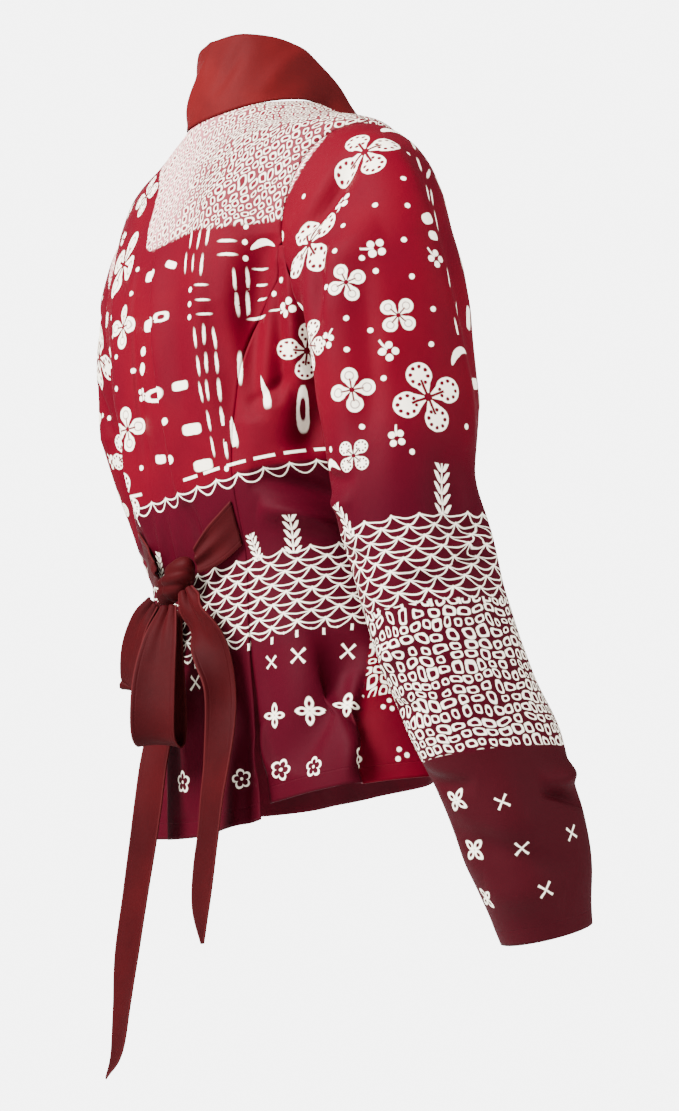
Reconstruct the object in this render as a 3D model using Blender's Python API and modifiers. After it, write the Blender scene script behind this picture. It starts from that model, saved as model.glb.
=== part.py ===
"""Kebaya jacket in the shape it has when worn, with a bow tied at the back of the waist.

Frame: metres, +Z up, the wearer faces -Y and the wearer's right is -X. The origin is the middle
of the neck opening, level with the shoulder seams' inner ends, where the wearer carries it.
The body is a stack of closed rings. An angle goes round it from the centre back (0) over the
wearer's right side (90) to the centre front (180), and a place goes up the stack, 0 at the hem.
A side is 1 for the wearer's right and -1 for the left.
"""

from collections import namedtuple
import math

import bmesh
import bpy
from mathutils import Matrix, Vector

WALL = 0.0016
SEAM_GAP = 0.0006
TIE_WIDTH = 0.034
TIE_WALL = 0.0014
CLEARANCE = 0.0006  # how far the collar stands out from the neckline's surface

# How many faces wide each cloth is, and how many it is high where no table says so.
CENTRE_COLUMNS, SIDE_COLUMNS, FRONT_COLUMNS = 24, 12, 16
COLLAR_HALF_COLUMNS, COLLAR_STEPS = 20, 4

CLOTH_RED = (0.38, 0.02, 0.045, 1.0)
TIE_RUST = (0.24, 0.035, 0.035, 1.0)
COLLAR_RED = (0.29, 0.045, 0.045, 1.0)

# A ring's heights at the centre back, the side and the centre front, its half width,
# how far it reaches back and forward of its middle, where that middle is, and how square it is.
Ring = namedtuple("Ring", "name back_z side_z front_z half_width back front middle_y square")
RINGS = (
    Ring("hem", -0.556, -0.541, -0.525, 0.160, 0.117, 0.128, -0.018, 2.1),
    Ring("peplum", -0.496, -0.484, -0.470, 0.147, 0.107, 0.118, -0.008, 2.1),
    Ring("high hip", -0.431, -0.421, -0.408, 0.132, 0.096, 0.106, 0.004, 2.1),
    Ring("waist", -0.368, -0.358, -0.344, 0.122, 0.086, 0.098, 0.012, 2.2),
    Ring("rib", -0.310, -0.301, -0.290, 0.128, 0.090, 0.106, 0.019, 2.2),
    Ring("under bust", -0.252, -0.245, -0.236, 0.136, 0.095, 0.116, 0.021, 2.2),
    Ring("armpit", -0.198, -0.196, -0.190, 0.146, 0.098, 0.122, 0.020, 2.25),
    Ring("cross back", -0.145, -0.144, -0.142, 0.157, 0.100, 0.112, 0.014, 2.3),
    Ring("blades", -0.096, -0.096, -0.098, 0.167, 0.092, 0.092, 0.008, 2.2),
    Ring("shoulder tip", -0.052, -0.043, -0.062, 0.157, 0.077, 0.074, 0.001, 2.15),
    Ring("mid shoulder", -0.026, -0.021, -0.043, 0.106, 0.065, 0.062, 0.000, 2.0),
    Ring("neck", -0.008, 0.000, -0.032, 0.061, 0.060, 0.056, -0.002, 2.0),
)
HEM, WAIST, ARMPIT, TIP, NECK = 0, 3, 6, 9, 11

# Each fold runs from one angle at its low end to another at its high end, is highest midway,
# stands out by its depth (or in, when that is negative) and leans round by so many degrees.
# A fold that is fullest at the hem has its low end as far below the hem as its high end is above.
Fold = namedtuple("Fold", "low_angle high_angle half_angle depth lean low high")
FOLDS = (
    Fold(20, 30, 13, 0.010, 5, -3.0, 3.0),
    Fold(57, 58, 13, 0.014, 9, -3.0, 3.0),
    Fold(82, 79, 11, 0.008, 4, -2.8, 2.8),
    Fold(124, 120, 16, 0.010, 4, -2.8, 2.8),
    Fold(158, 160, 13, 0.008, 3, -2.8, 2.8),
    Fold(-14, -12, 13, 0.008, -4, -2.8, 2.8),
    Fold(-42, -38, 14, 0.012, -6, -3.0, 3.0),
    Fold(-76, -74, 14, 0.010, -5, -2.8, 2.8),
    Fold(-112, -110, 15, 0.010, -4, -2.8, 2.8),
    Fold(-152, -154, 14, 0.009, -3, -2.8, 2.8),
    Fold(54, 60, 15, -0.009, 0, 4.8, 9.6),
    Fold(-52, -60, 14, -0.007, 0, 4.8, 9.2),
    Fold(30, 36, 10, 0.004, 2, 4.2, 9.6),
    Fold(-20, -16, 7, 0.003, 3, 3.4, 9.0),
    Fold(-38, -34, 7, 0.003, 3, 3.4, 8.6),
)

# The armhole is an oval in angle and place, centred on the side seam.
ARMHOLE_HALF_ANGLE = 25.0
ARMHOLE_STEPS = 10
ARMHOLE_SPREAD = 0.07
HEM_STEPS, RIB_STEPS, SHOULDER_STEPS = 7, 6, 4

# The seam between the centre back and a side back, by place: it ends in the armhole.
SEAM_STEP = 4  # armhole step at which the seam meets the armhole
SeamPoint = namedtuple("SeamPoint", "place angle")
PRINCESS_SEAM = (
    SeamPoint(0.0, 37),
    SeamPoint(1.5, 39.5),
    SeamPoint(3.0, 44.5),
    SeamPoint(4.5, 46.5),
    SeamPoint(6.0, 55),
    SeamPoint(6.7, 64),
)
VENT_LIFT = 0.009  # how far the centre back's edge stands out over the side back's at the hem
VENT_ANGLE = 16.0
HEM_DROP = 0.012  # how much lower the centre back hangs
SEAM_TIP_ANGLE = 0.5  # how narrow the side back is where it runs out in the armhole

# The front edge: straight up the centre front, then along the neckline's V to the neck ring.
FRONT_EDGE = (
    SeamPoint(0.0, 179.7),
    SeamPoint(5.6, 179.7),
    SeamPoint(6.6, 172),
    SeamPoint(8.0, 157),
    SeamPoint(9.5, 139),
    SeamPoint(11.0, 112),
)

# The collar's top edge, from the centre back to the foot of the neckline's V.
CollarPoint = namedtuple("CollarPoint", "share x y z")
COLLAR_TOP = (
    CollarPoint(0.00, 0.000, 0.042, 0.060),
    CollarPoint(0.12, 0.037, 0.031, 0.058),
    CollarPoint(0.24, 0.053, -0.002, 0.048),
    CollarPoint(0.36, 0.056, -0.037, 0.020),
    CollarPoint(0.50, 0.046, -0.072, -0.016),
    CollarPoint(0.72, 0.022, -0.101, -0.078),
    CollarPoint(0.86, 0.006, -0.109, -0.122),
    CollarPoint(1.00, 0.002, -0.110, -0.170),
)
COLLAR_BELLY = 0.0015
NECK_SHARE = 0.36  # share of the collar that stands on the neck ring; the rest follows the V
COLLAR_FOOT = 5.9  # place at which it ends, just above the foot of the V
COLLAR_GAP_ANGLE = 0.7
COLLAR_RISE = 0.0008

# A sleeve's sections from the upper arm to the cuff: centre, half width across the arm and
# half depth from its front to its back.
Section = namedtuple("Section", "x y z across deep")
RIGHT_ARM = (
    Section(0.197, 0.024, -0.205, 0.046, 0.067),
    Section(0.202, 0.023, -0.275, 0.047, 0.063),
    Section(0.206, 0.027, -0.335, 0.047, 0.055),
    Section(0.209, 0.015, -0.400, 0.047, 0.054),
    Section(0.211, -0.006, -0.470, 0.045, 0.054),
    Section(0.212, -0.036, -0.545, 0.043, 0.051),
    Section(0.210, -0.055, -0.600, 0.041, 0.049),
    Section(0.205, -0.070, -0.662, 0.032, 0.036),
)
LEFT_ARM = (
    Section(0.197, -0.010, -0.205, 0.046, 0.060),
    Section(0.200, -0.030, -0.270, 0.048, 0.058),
    Section(0.206, -0.054, -0.330, 0.048, 0.056),
    Section(0.204, -0.088, -0.380, 0.048, 0.056),
    Section(0.188, -0.134, -0.418, 0.046, 0.053),
    Section(0.162, -0.178, -0.446, 0.044, 0.050),
    Section(0.134, -0.216, -0.468, 0.041, 0.047),
    Section(0.106, -0.252, -0.487, 0.034, 0.038),
)
# The sleeves' folds. Here an angle goes round the arm from the side that faces the body (0)
# over the back (90) and the outer side (180) to the front (270).
ARM_FOLDS = (
    Fold(262, 278, 62, 0.007, 0, 4.15, 5.45),
    Fold(262, 292, 66, -0.008, 0, 4.75, 6.15),
    Fold(215, 300, 30, 0.005, 0, 5.1, 6.9),
    Fold(120, 150, 34, 0.005, 0, 4.6, 6.6),
    Fold(300, 330, 30, -0.004, 0, 2.1, 3.9),
    Fold(235, 215, 26, 0.004, 0, 1.6, 4.0),
    Fold(150, 110, 26, -0.003, 0, 0.4, 2.6),
)
CAP_STEPS = 6
ARM_STEPS = 20
RUN_SAMPLE = 0.2  # how far on each side along a table a middle line's direction is taken
# How the cloth leaves the armhole at the armpit and at the shoulder tip: degrees below level,
# and how far that heading and the arm's own are felt, as shares of the way between the two.
CapEnd = namedtuple("CapEnd", "turn leave arrive")
CAP_LOW = CapEnd(66, 0.7, 0.75)
CAP_HIGH = CapEnd(22, 1.2, 1.25)
ARM_SPLAY = 0.05  # how far outwards an upper arm runs for each unit down

# A strap lies on the back, from its seam to the knot: the place of its middle line, how far it
# stands out, its width as a share of the full one, and how far its two edges slant.
StrapPoint = namedtuple("StrapPoint", "angle place lift share slant")
STRAP = (
    StrapPoint(43.6, 3.44, 0.0022, 1.00, 0.6),
    StrapPoint(37.0, 3.32, 0.0040, 0.98, 0.5),
    StrapPoint(31.0, 3.22, 0.0070, 0.90, 0.5),
    StrapPoint(27.0, 3.14, 0.0110, 0.76, 0.0),
    StrapPoint(23.5, 3.08, 0.0140, 0.55, 0.0),
)
LEFT_STRAP_SHIFT = 13.0  # how much nearer to the centre back the left strap ends
STRAP_STEPS = 8
TIE_COLUMNS = 3

# A loop or tail: its middle line, the heading of its width (0 points to the wearer's right,
# 90 to the front), how far that width dips, and its width as a share of the full one.
Run = namedtuple("Run", "x y z heading dip share")
TIE_RUNS = {
    "tie_loop_right": (
        Run(-0.016, 0.1220, -0.3930, 20, 10, 0.45),
        Run(-0.020, 0.1330, -0.4160, 32, 12, 0.80),
        Run(-0.020, 0.1410, -0.4460, 38, 14, 1.00),
        Run(-0.020, 0.1450, -0.4740, 40, 14, 1.05),
        Run(-0.016, 0.1430, -0.4930, 40, 10, 1.05),
        Run(-0.010, 0.1340, -0.4990, 40, 6, 1.05),
        Run(-0.005, 0.1260, -0.4900, 40, 0, 1.00),
        Run(-0.006, 0.1230, -0.4600, 36, -4, 0.92),
        Run(-0.010, 0.1190, -0.4240, 26, -4, 0.62),
        Run(-0.012, 0.1140, -0.3960, 16, 0, 0.36),
    ),
    "tie_loop_left": (
        Run(0.0120, 0.1190, -0.3860, -4, 56, 0.45),
        Run(0.0230, 0.1260, -0.4000, -4, 44, 0.75),
        Run(0.0340, 0.1290, -0.4220, -4, 34, 0.95),
        Run(0.0430, 0.1265, -0.4450, -4, 30, 1.00),
        Run(0.0470, 0.1200, -0.4510, -4, 32, 1.00),
        Run(0.0410, 0.1150, -0.4330, -4, 38, 0.95),
        Run(0.0280, 0.1135, -0.4050, -4, 48, 0.75),
        Run(0.0130, 0.1120, -0.3890, -4, 58, 0.36),
    ),
    "tie_tail_right": (
        Run(-0.0340, 0.1170, -0.3830, 10, 40, 0.40),
        Run(-0.0430, 0.1180, -0.3990, 5, 36, 0.80),
        Run(-0.0520, 0.1150, -0.4170, 10, 30, 0.95),
        Run(-0.0600, 0.1130, -0.4390, 40, 20, 0.85),
        Run(-0.0660, 0.1120, -0.4620, 60, 10, 0.72),
        Run(-0.0670, 0.1140, -0.4880, 40, 6, 0.72),
        Run(-0.0650, 0.1180, -0.5170, 15, 4, 0.80),
        Run(-0.0610, 0.1220, -0.5450, 5, 4, 0.84),
        Run(-0.0560, 0.1240, -0.5710, 0, 4, 0.88),
        Run(-0.0490, 0.1260, -0.5980, 0, 6, 0.88),
        Run(-0.0430, 0.1270, -0.6240, 0, 20, 0.70),
        Run(-0.0440, 0.1280, -0.6510, 0, 40, 0.10),
    ),
    "tie_tail_left": (
        Run(0.0010, 0.1085, -0.3960, 0, 8, 0.40),
        Run(0.0130, 0.1075, -0.4180, 0, 22, 0.70),
        Run(0.0250, 0.1085, -0.4480, 4, 16, 0.90),
        Run(0.0270, 0.1140, -0.4880, 10, 8, 0.92),
        Run(0.0280, 0.1210, -0.5170, 14, 6, 0.90),
        Run(0.0340, 0.1275, -0.5610, 14, 4, 0.88),
        Run(0.0430, 0.1330, -0.6050, 10, 2, 0.88),
        Run(0.0520, 0.1390, -0.6500, 6, 0, 0.90),
        Run(0.0580, 0.1430, -0.6900, 0, -6, 0.80),
        Run(0.0650, 0.1460, -0.7230, 0, -24, 0.60),
        Run(0.0810, 0.1480, -0.7440, 0, -40, 0.10),
    ),
}
TIE_STEPS_PER_RUN = 3
TIE_CURL = 0.12  # how far a ribbon's middle bows out of its edges' line, as a share of its width

KNOT_CENTRE = Vector((-0.014, 0.1135, -0.3740))
KNOT_SIZE = Vector((0.026, 0.0115, 0.0130))
KNOT_TILT = 30.0  # how far its right end is raised
KNOT_GROOVE = 0.16  # depth of the groove round it, as a share of its size
KNOT_GROOVE_AT = 0.3  # where along its half length the groove is, how wide, and how much it slants
KNOT_GROOVE_WIDTH = 0.22
KNOT_GROOVE_SLANT = 0.35


def spline(table, column, place, key=None):
    """Smooth value of a column, through every row; rows are one apart or placed by key."""
    places = [getattr(row, key) for row in table] if key else list(range(len(table)))
    place = min(max(place, places[0]), places[-1])
    row = max(i for i in range(len(table) - 1) if places[i] <= place)
    values = [getattr(table[min(max(row + k, 0), len(table) - 1)], column) for k in (-1, 0, 1, 2)]
    ends = [places[min(max(row + k, 0), len(table) - 1)] for k in (-1, 0, 1, 2)]
    step = ends[2] - ends[1]
    before = (values[2] - values[0]) / (ends[2] - ends[0]) * step
    after = (values[3] - values[1]) / (ends[3] - ends[1]) * step
    t = (place - ends[1]) / step
    return (
        values[1] * (2 * t**3 - 3 * t**2 + 1)
        + before * (t**3 - 2 * t**2 + t)
        + values[2] * (3 * t**2 - 2 * t**3)
        + after * (t**3 - t**2)
    )


def fold_height(fold, angle, place):
    """How much of a fold there is at a point, from 0 to 1."""
    along = (place - fold.low) / (fold.high - fold.low)
    if not 0 < along < 1:
        return 0.0
    centre = fold.low_angle + (fold.high_angle - fold.low_angle) * max(place, 0) / fold.high
    off = (angle - centre + 180) % 360 - 180
    if abs(off) >= fold.half_angle:
        return 0.0
    return math.sin(math.pi * along) ** 2 * (0.5 + 0.5 * math.cos(math.pi * off / fold.half_angle))


def body_point(angle, place, lift=0.0):
    """Point of the body's outer surface, or moved out from it by lift."""
    heights = [(fold, fold_height(fold, angle, place)) for fold in FOLDS]
    turned = math.radians(angle + sum(fold.lean * height for fold, height in heights))
    width = spline(RINGS, "half_width", place)
    side, up_back = math.sin(turned), math.cos(turned)
    reach = spline(RINGS, "back" if up_back > 0 else "front", place)
    square = spline(RINGS, "square", place)
    radius = (abs(side / width) ** square + abs(up_back / reach) ** square) ** (-1 / square)
    outward = Vector((-side / width**2, up_back / reach**2, 0)).normalized()
    side_z = spline(RINGS, "side_z", place)
    end_z = spline(RINGS, "back_z" if up_back > 0 else "front_z", place)
    point = Vector((-radius * side, radius * up_back, side_z + (end_z - side_z) * up_back**2))
    point.y += spline(RINGS, "middle_y", place)
    return point + outward * (lift + sum(fold.depth * height for fold, height in heights))


def armhole_turn(step):
    """How far round the armhole's oval a step is, from the armpit (0); end steps are the longest."""
    share = step / ARMHOLE_STEPS
    return math.pi * (share + ARMHOLE_SPREAD * math.sin(math.tau * share))


def armhole_place(step):
    """Place of an armhole step, from the armpit to the shoulder tip."""
    return (ARMPIT + TIP) / 2 - (TIP - ARMPIT) / 2 * math.cos(armhole_turn(step))


def armhole_angle(step):
    """Angle of the armhole's back edge at a step; its front edge is as far past the side."""
    return 90 - ARMHOLE_HALF_ANGLE * math.sin(armhole_turn(step))


def side_angle(place, step):
    """Angle at which a back panel ends: at the armhole, or at the side or shoulder seam."""
    return min(armhole_angle(step) if step else 90, 90 - gap_angle(place))


def body_places():
    """Places of the rows that all the panels share, with the armhole step of those that have one."""
    rows = [(WAIST * i / HEM_STEPS, None) for i in range(HEM_STEPS)]
    rows += [(WAIST + (ARMPIT - WAIST) * i / RIB_STEPS, None) for i in range(RIB_STEPS)]
    rows += [(armhole_place(step), step) for step in range(ARMHOLE_STEPS + 1)]
    rows += [(TIP + (NECK - TIP) * (i + 1) / SHOULDER_STEPS, None) for i in range(SHOULDER_STEPS)]
    return rows


def seam_angle(place):
    """Angle of the princess seam."""
    return spline(PRINCESS_SEAM, "angle", place, "place")


def gap_angle(place, gap=SEAM_GAP):
    """Half a seam's gap as an angle at this place."""
    return math.degrees(gap / 2 / spline(RINGS, "back", place))


def vent(place):
    """How far the seam below the waist has opened: 1 at the hem, 0 at the waist."""
    return max(0.0, 1 - place / WAIST) ** 2


def centre_back_rows(columns):
    """Rows of points across the centre back, out to the armholes and the shoulder seams."""
    rows = []
    for place, step in body_places():
        if place > ARMPIT and step is None or step is not None and step > SEAM_STEP:
            edge = side_angle(place, step)
        else:
            edge = seam_angle(place) - gap_angle(place)
        row = []
        for i in range(columns + 1):
            angle = edge * (2 * i / columns - 1)
            near_edge = max(0.0, 1 - (edge - abs(angle)) / VENT_ANGLE) ** 2
            point = body_point(angle, place, VENT_LIFT * vent(place) * near_edge)
            point.z -= HEM_DROP * vent(place)
            row.append(point)
        rows.append(row)
    return rows


def side_back_rows(side, columns):
    """Rows of a side back, from the princess seam to the side seam and the armhole."""
    rows = []
    for place, step in body_places():
        if place > ARMPIT and (step is None or step > SEAM_STEP):
            break
        edge = side_angle(place, step)
        start = min(seam_angle(place) + gap_angle(place), edge - SEAM_TIP_ANGLE)
        row = []
        for i in range(columns + 1):
            angle = start + (edge - start) * i / columns
            near_seam = max(0.0, 1 - (angle - start) / VENT_ANGLE) ** 2
            row.append(body_point(side * angle, place, -VENT_LIFT / 2 * vent(place) * near_seam))
        rows.append(row[::side])
    return rows


def front_edge(place):
    """Angle of a front's edge."""
    return min(FRONT_EDGE[0].angle, spline(FRONT_EDGE, "angle", place, "place"))


def front_rows(side, columns):
    """Rows of a front, from the side seam, armhole and shoulder seam to the front edge."""
    rows = []
    for place, step in body_places():
        start = 180 - side_angle(place, step)
        turns = [start + (front_edge(place) - start) * i / columns for i in range(columns + 1)]
        rows.append([body_point(side * turn, place) for turn in turns[::side]])
    return rows


def armhole_loop(side):
    """The armhole's points: from the armpit up the back edge, and down the front edge."""
    up = [(armhole_angle(step), armhole_place(step)) for step in range(ARMHOLE_STEPS + 1)]
    down = [(180 - angle, place) for angle, place in reversed(up[1:-1])]
    return [body_point(side * angle, place) for angle, place in up + down]


def middle_point(table, place):
    """Point of a sleeve's or a ribbon's middle line."""
    return Vector([spline(table, column, place) for column in "xyz"])


def middle_run(table, place):
    """The direction in which that line runs."""
    start = middle_point(table, place - RUN_SAMPLE)
    return (middle_point(table, place + RUN_SAMPLE) - start).normalized()


def arm_ring(sections, side, place, count):
    """A sleeve's ring: its first point faces the body, and the next ones go round by the back."""
    centre = middle_point(sections, place)
    run = middle_run(sections, place)
    back = Vector((0, 1, 0))
    back = (back - run * back.dot(run)).normalized()
    body_ward = run.cross(back).normalized()
    if body_ward.x > 0:
        body_ward = -body_ward
    across, deep = spline(sections, "across", place), spline(sections, "deep", place)
    ring = []
    for i in range(count):
        angle = 360 * i / count
        turn = math.radians(angle)
        outward = body_ward * math.cos(turn) + back * math.sin(turn)
        point = centre + body_ward * across * math.cos(turn) + back * deep * math.sin(turn)
        point += outward * sum(fold.depth * fold_height(fold, angle, place) for fold in ARM_FOLDS)
        ring.append(Vector((-side * point.x, point.y, point.z)))
    return ring


def cap_row(loop, ring, side, share):
    """A row of the sleeve's cap, between the armhole (share 0) and the first arm ring (1)."""
    row = []
    for i, (edge, end) in enumerate(zip(loop, ring)):
        height = 0.5 - 0.5 * math.cos(math.tau * i / len(loop))
        here = CapEnd(*(low + (high - low) * height for low, high in zip(CAP_LOW, CAP_HIGH)))
        turn = math.radians(here.turn)
        reach = (end - edge).length
        way_out = Vector((-side * math.cos(turn), 0, -math.sin(turn)))
        start = edge + way_out * SEAM_GAP
        leave = way_out * reach * here.leave
        arrive = Vector((-side * ARM_SPLAY, 0, -1)) * reach * here.arrive
        t = share
        row.append(
            start * (2 * t**3 - 3 * t**2 + 1)
            + leave * (t**3 - 2 * t**2 + t)
            + end * (3 * t**2 - 2 * t**3)
            + arrive * (t**3 - t**2)
        )
    return row


def sleeve_rows(sections, side):
    """Closed rows of a sleeve, from its armhole to its cuff."""
    loop = armhole_loop(side)
    count = len(loop)
    ring = arm_ring(sections, side, 0, count)
    rows = [cap_row(loop, ring, side, i / CAP_STEPS) for i in range(CAP_STEPS)]
    last = len(sections) - 1
    rows += [arm_ring(sections, side, last * i / ARM_STEPS, count) for i in range(ARM_STEPS + 1)]
    return [row[::-side] for row in rows]


def collar_base(share):
    """Point of the neckline, from the centre back (0) to near the foot of the V (1), on the left."""
    end_angle = FRONT_EDGE[-1].angle
    if share < NECK_SHARE:
        point = body_point(-end_angle * share / NECK_SHARE, NECK, CLEARANCE)
    else:
        place = NECK + (COLLAR_FOOT - NECK) * (share - NECK_SHARE) / (1 - NECK_SHARE)
        beyond = COLLAR_GAP_ANGLE * (NECK - place) / (NECK - COLLAR_FOOT)
        point = body_point(-front_edge(place) - beyond, place, CLEARANCE)
    return point + Vector((0, 0, COLLAR_RISE))


def collar_rows(columns, steps):
    """Rows of the collar, from the neckline up to its top edge."""
    rows = []
    for step in range(steps + 1):
        row = []
        for i in range(-columns, columns + 1):
            share = abs(i) / columns
            base = collar_base(share)
            top = Vector([spline(COLLAR_TOP, column, share, "share") for column in "xyz"])
            point = base.lerp(top, step / steps)
            belly = COLLAR_BELLY * math.sin(math.pi * step / steps)
            point += Vector((point.x, point.y, 0)).normalized() * belly
            row.append(Vector((math.copysign(point.x, -i), point.y, point.z)))
        rows.append(row)
    return rows


def strap_rows(side):
    """Rows of a strap, from its seam to the knot, each from its lower to its upper edge."""
    shift = 0 if side == 1 else LEFT_STRAP_SHIFT / (len(STRAP) - 1)
    rows = []
    for i in range(STRAP_STEPS + 1):
        along = (len(STRAP) - 1) * i / STRAP_STEPS
        angle, place, lift, share, slant = (spline(STRAP, column, along) for column in STRAP[0]._fields)
        height = spline(RINGS, "back_z", place + 0.5) - spline(RINGS, "back_z", place - 0.5)
        row = []
        for j in range(TIE_COLUMNS + 1):
            across = 2 * j / TIE_COLUMNS - 1
            rise = TIE_WIDTH / 2 * share * across / height
            bow = TIE_CURL * TIE_WIDTH * share * (1 - share) * (1 - across**2)
            turned = side * (angle - slant * across - shift * along)
            row.append(body_point(turned, place + rise, lift + bow))
        rows.append(row[::side])
    return rows


def ribbon_rows(runs):
    """Rows of a loop or tail, along its middle line."""
    steps = TIE_STEPS_PER_RUN * (len(runs) - 1)
    rows = []
    for i in range(steps + 1):
        along = (len(runs) - 1) * i / steps
        centre = middle_point(runs, along)
        run = middle_run(runs, along)
        heading, dip = (math.radians(spline(runs, column, along)) for column in ("heading", "dip"))
        level = Vector((-math.cos(heading), -math.sin(heading), 0))
        width = level * math.cos(dip) - Vector((0, 0, math.sin(dip)))
        width = (width - run * width.dot(run)).normalized()
        out = width.cross(run)
        half = TIE_WIDTH / 2 * spline(runs, "share", along)
        row = []
        for j in range(TIE_COLUMNS + 1):
            across = 2 * j / TIE_COLUMNS - 1
            row.append(centre + width * half * across + out * TIE_CURL * half * (1 - across**2))
        rows.append(row)
    return rows


def material(name, colour, roughness):
    """A plain cloth."""
    cloth = bpy.data.materials.new(name)
    cloth.use_nodes = True
    shader = cloth.node_tree.nodes["Principled BSDF"]
    shader.inputs["Base Color"].default_value = colour
    shader.inputs["Roughness"].default_value = roughness
    shader.inputs["Metallic"].default_value = 0.0
    return cloth


def cloth_piece(collection, name, rows, cloth, wall=WALL, closed=False):
    """A lofted sheet of cloth, thickened inwards from its outer face."""
    count = len(rows[0])
    points = [point for row in rows for point in row]
    faces = []
    for i in range(len(rows) - 1):
        for j in range(count if closed else count - 1):
            k = (j + 1) % count
            faces.append((i * count + j, i * count + k, (i + 1) * count + k, (i + 1) * count + j))
    mesh = bpy.data.meshes.new(name)
    mesh.from_pydata(points, [], faces)
    form = bmesh.new()
    form.from_mesh(mesh)
    bmesh.ops.triangulate(form, faces=form.faces, quad_method="SHORT_EDGE")
    form.to_mesh(mesh)
    form.free()
    mesh.shade_smooth()
    mesh.materials.append(cloth)
    piece = bpy.data.objects.new(name, mesh)
    collection.objects.link(piece)
    shell = piece.modifiers.new("wall", "SOLIDIFY")
    shell.thickness = wall
    shell.offset = -1
    shell.use_quality_normals = True
    return piece


def knot_piece(collection, name, cloth):
    """The knot: a flattened ball with a groove round it where one end wraps the other."""
    form = bmesh.new()
    bmesh.ops.create_uvsphere(form, u_segments=16, v_segments=10, radius=1)
    shape = Matrix.Rotation(math.radians(KNOT_TILT), 3, "Y") @ Matrix.Diagonal(KNOT_SIZE)
    for vert in form.verts:
        off = vert.co.x + KNOT_GROOVE_SLANT * vert.co.z - KNOT_GROOVE_AT
        groove = 1 - KNOT_GROOVE * math.exp(-((off / KNOT_GROOVE_WIDTH) ** 2))
        vert.co = KNOT_CENTRE + shape @ vert.co * groove
    mesh = bpy.data.meshes.new(name)
    form.to_mesh(mesh)
    form.free()
    mesh.shade_smooth()
    mesh.materials.append(cloth)
    collection.objects.link(bpy.data.objects.new(name, mesh))


def main():
    for item in list(bpy.data.objects):
        bpy.data.objects.remove(item)
    collection = bpy.data.collections.new("kebaya_jacket")
    bpy.context.scene.collection.children.link(collection)
    red = material("batik_cotton", CLOTH_RED, 0.6)
    collar_cloth = material("collar_cotton", COLLAR_RED, 0.6)
    cloth_piece(collection, "back_centre", centre_back_rows(CENTRE_COLUMNS), red)
    for side, name, arm in ((1, "right", RIGHT_ARM), (-1, "left", LEFT_ARM)):
        cloth_piece(collection, f"back_{name}", side_back_rows(side, SIDE_COLUMNS), red)
        cloth_piece(collection, f"front_{name}", front_rows(side, FRONT_COLUMNS), red)
        cloth_piece(collection, f"sleeve_{name}", sleeve_rows(arm, side), red, closed=True)
    cloth_piece(collection, "collar", collar_rows(COLLAR_HALF_COLUMNS, COLLAR_STEPS), collar_cloth)
    tie_cloth = material("tie_cotton", TIE_RUST, 0.6)
    for side, name in ((1, "right"), (-1, "left")):
        cloth_piece(collection, f"tie_strap_{name}", strap_rows(side), tie_cloth, TIE_WALL)
    for name, runs in TIE_RUNS.items():
        cloth_piece(collection, name, ribbon_rows(runs), tie_cloth, TIE_WALL)
    knot_piece(collection, "tie_knot", tie_cloth)


main()
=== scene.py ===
from collections import namedtuple
import math
import random

import bmesh
import bpy
from bpy.props import FloatProperty, FloatVectorProperty, PointerProperty
from mathutils import Matrix, Vector
import numpy as np


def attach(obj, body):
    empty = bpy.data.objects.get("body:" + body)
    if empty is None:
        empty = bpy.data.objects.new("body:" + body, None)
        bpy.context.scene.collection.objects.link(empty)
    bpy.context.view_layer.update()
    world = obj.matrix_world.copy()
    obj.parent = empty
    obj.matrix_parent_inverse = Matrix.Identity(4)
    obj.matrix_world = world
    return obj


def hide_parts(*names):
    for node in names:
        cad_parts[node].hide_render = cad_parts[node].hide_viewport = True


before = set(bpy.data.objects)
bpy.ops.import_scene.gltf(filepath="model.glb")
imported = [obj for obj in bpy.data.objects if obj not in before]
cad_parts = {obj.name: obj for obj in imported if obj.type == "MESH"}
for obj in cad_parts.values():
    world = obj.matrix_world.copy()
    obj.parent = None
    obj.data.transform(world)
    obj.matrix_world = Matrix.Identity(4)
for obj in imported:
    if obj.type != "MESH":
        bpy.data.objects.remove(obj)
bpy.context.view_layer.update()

bl_info = {
    "name": "Kebaya blouse",
    "version": (1, 0, 0),
    "blender": (4, 5, 0),
    "location": "3D View > Sidebar > Kebaya",
    "description": "A worn kebaya blouse in printed cotton, with a bow at the back of the waist",
    "category": "Object",
}

# Metres, +Z up; the wearer faces -Y and the wearer's right is -X. The body is a stack of closed
# rings: an angle goes round it from the centre back (0) over the wearer's right side (90) to the
# centre front (180), and a place goes up the stack, 0 at the hem. A side is 1 for the wearer's
# right and -1 for the left.

# ---------------------------------------------------------------- the cut

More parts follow.
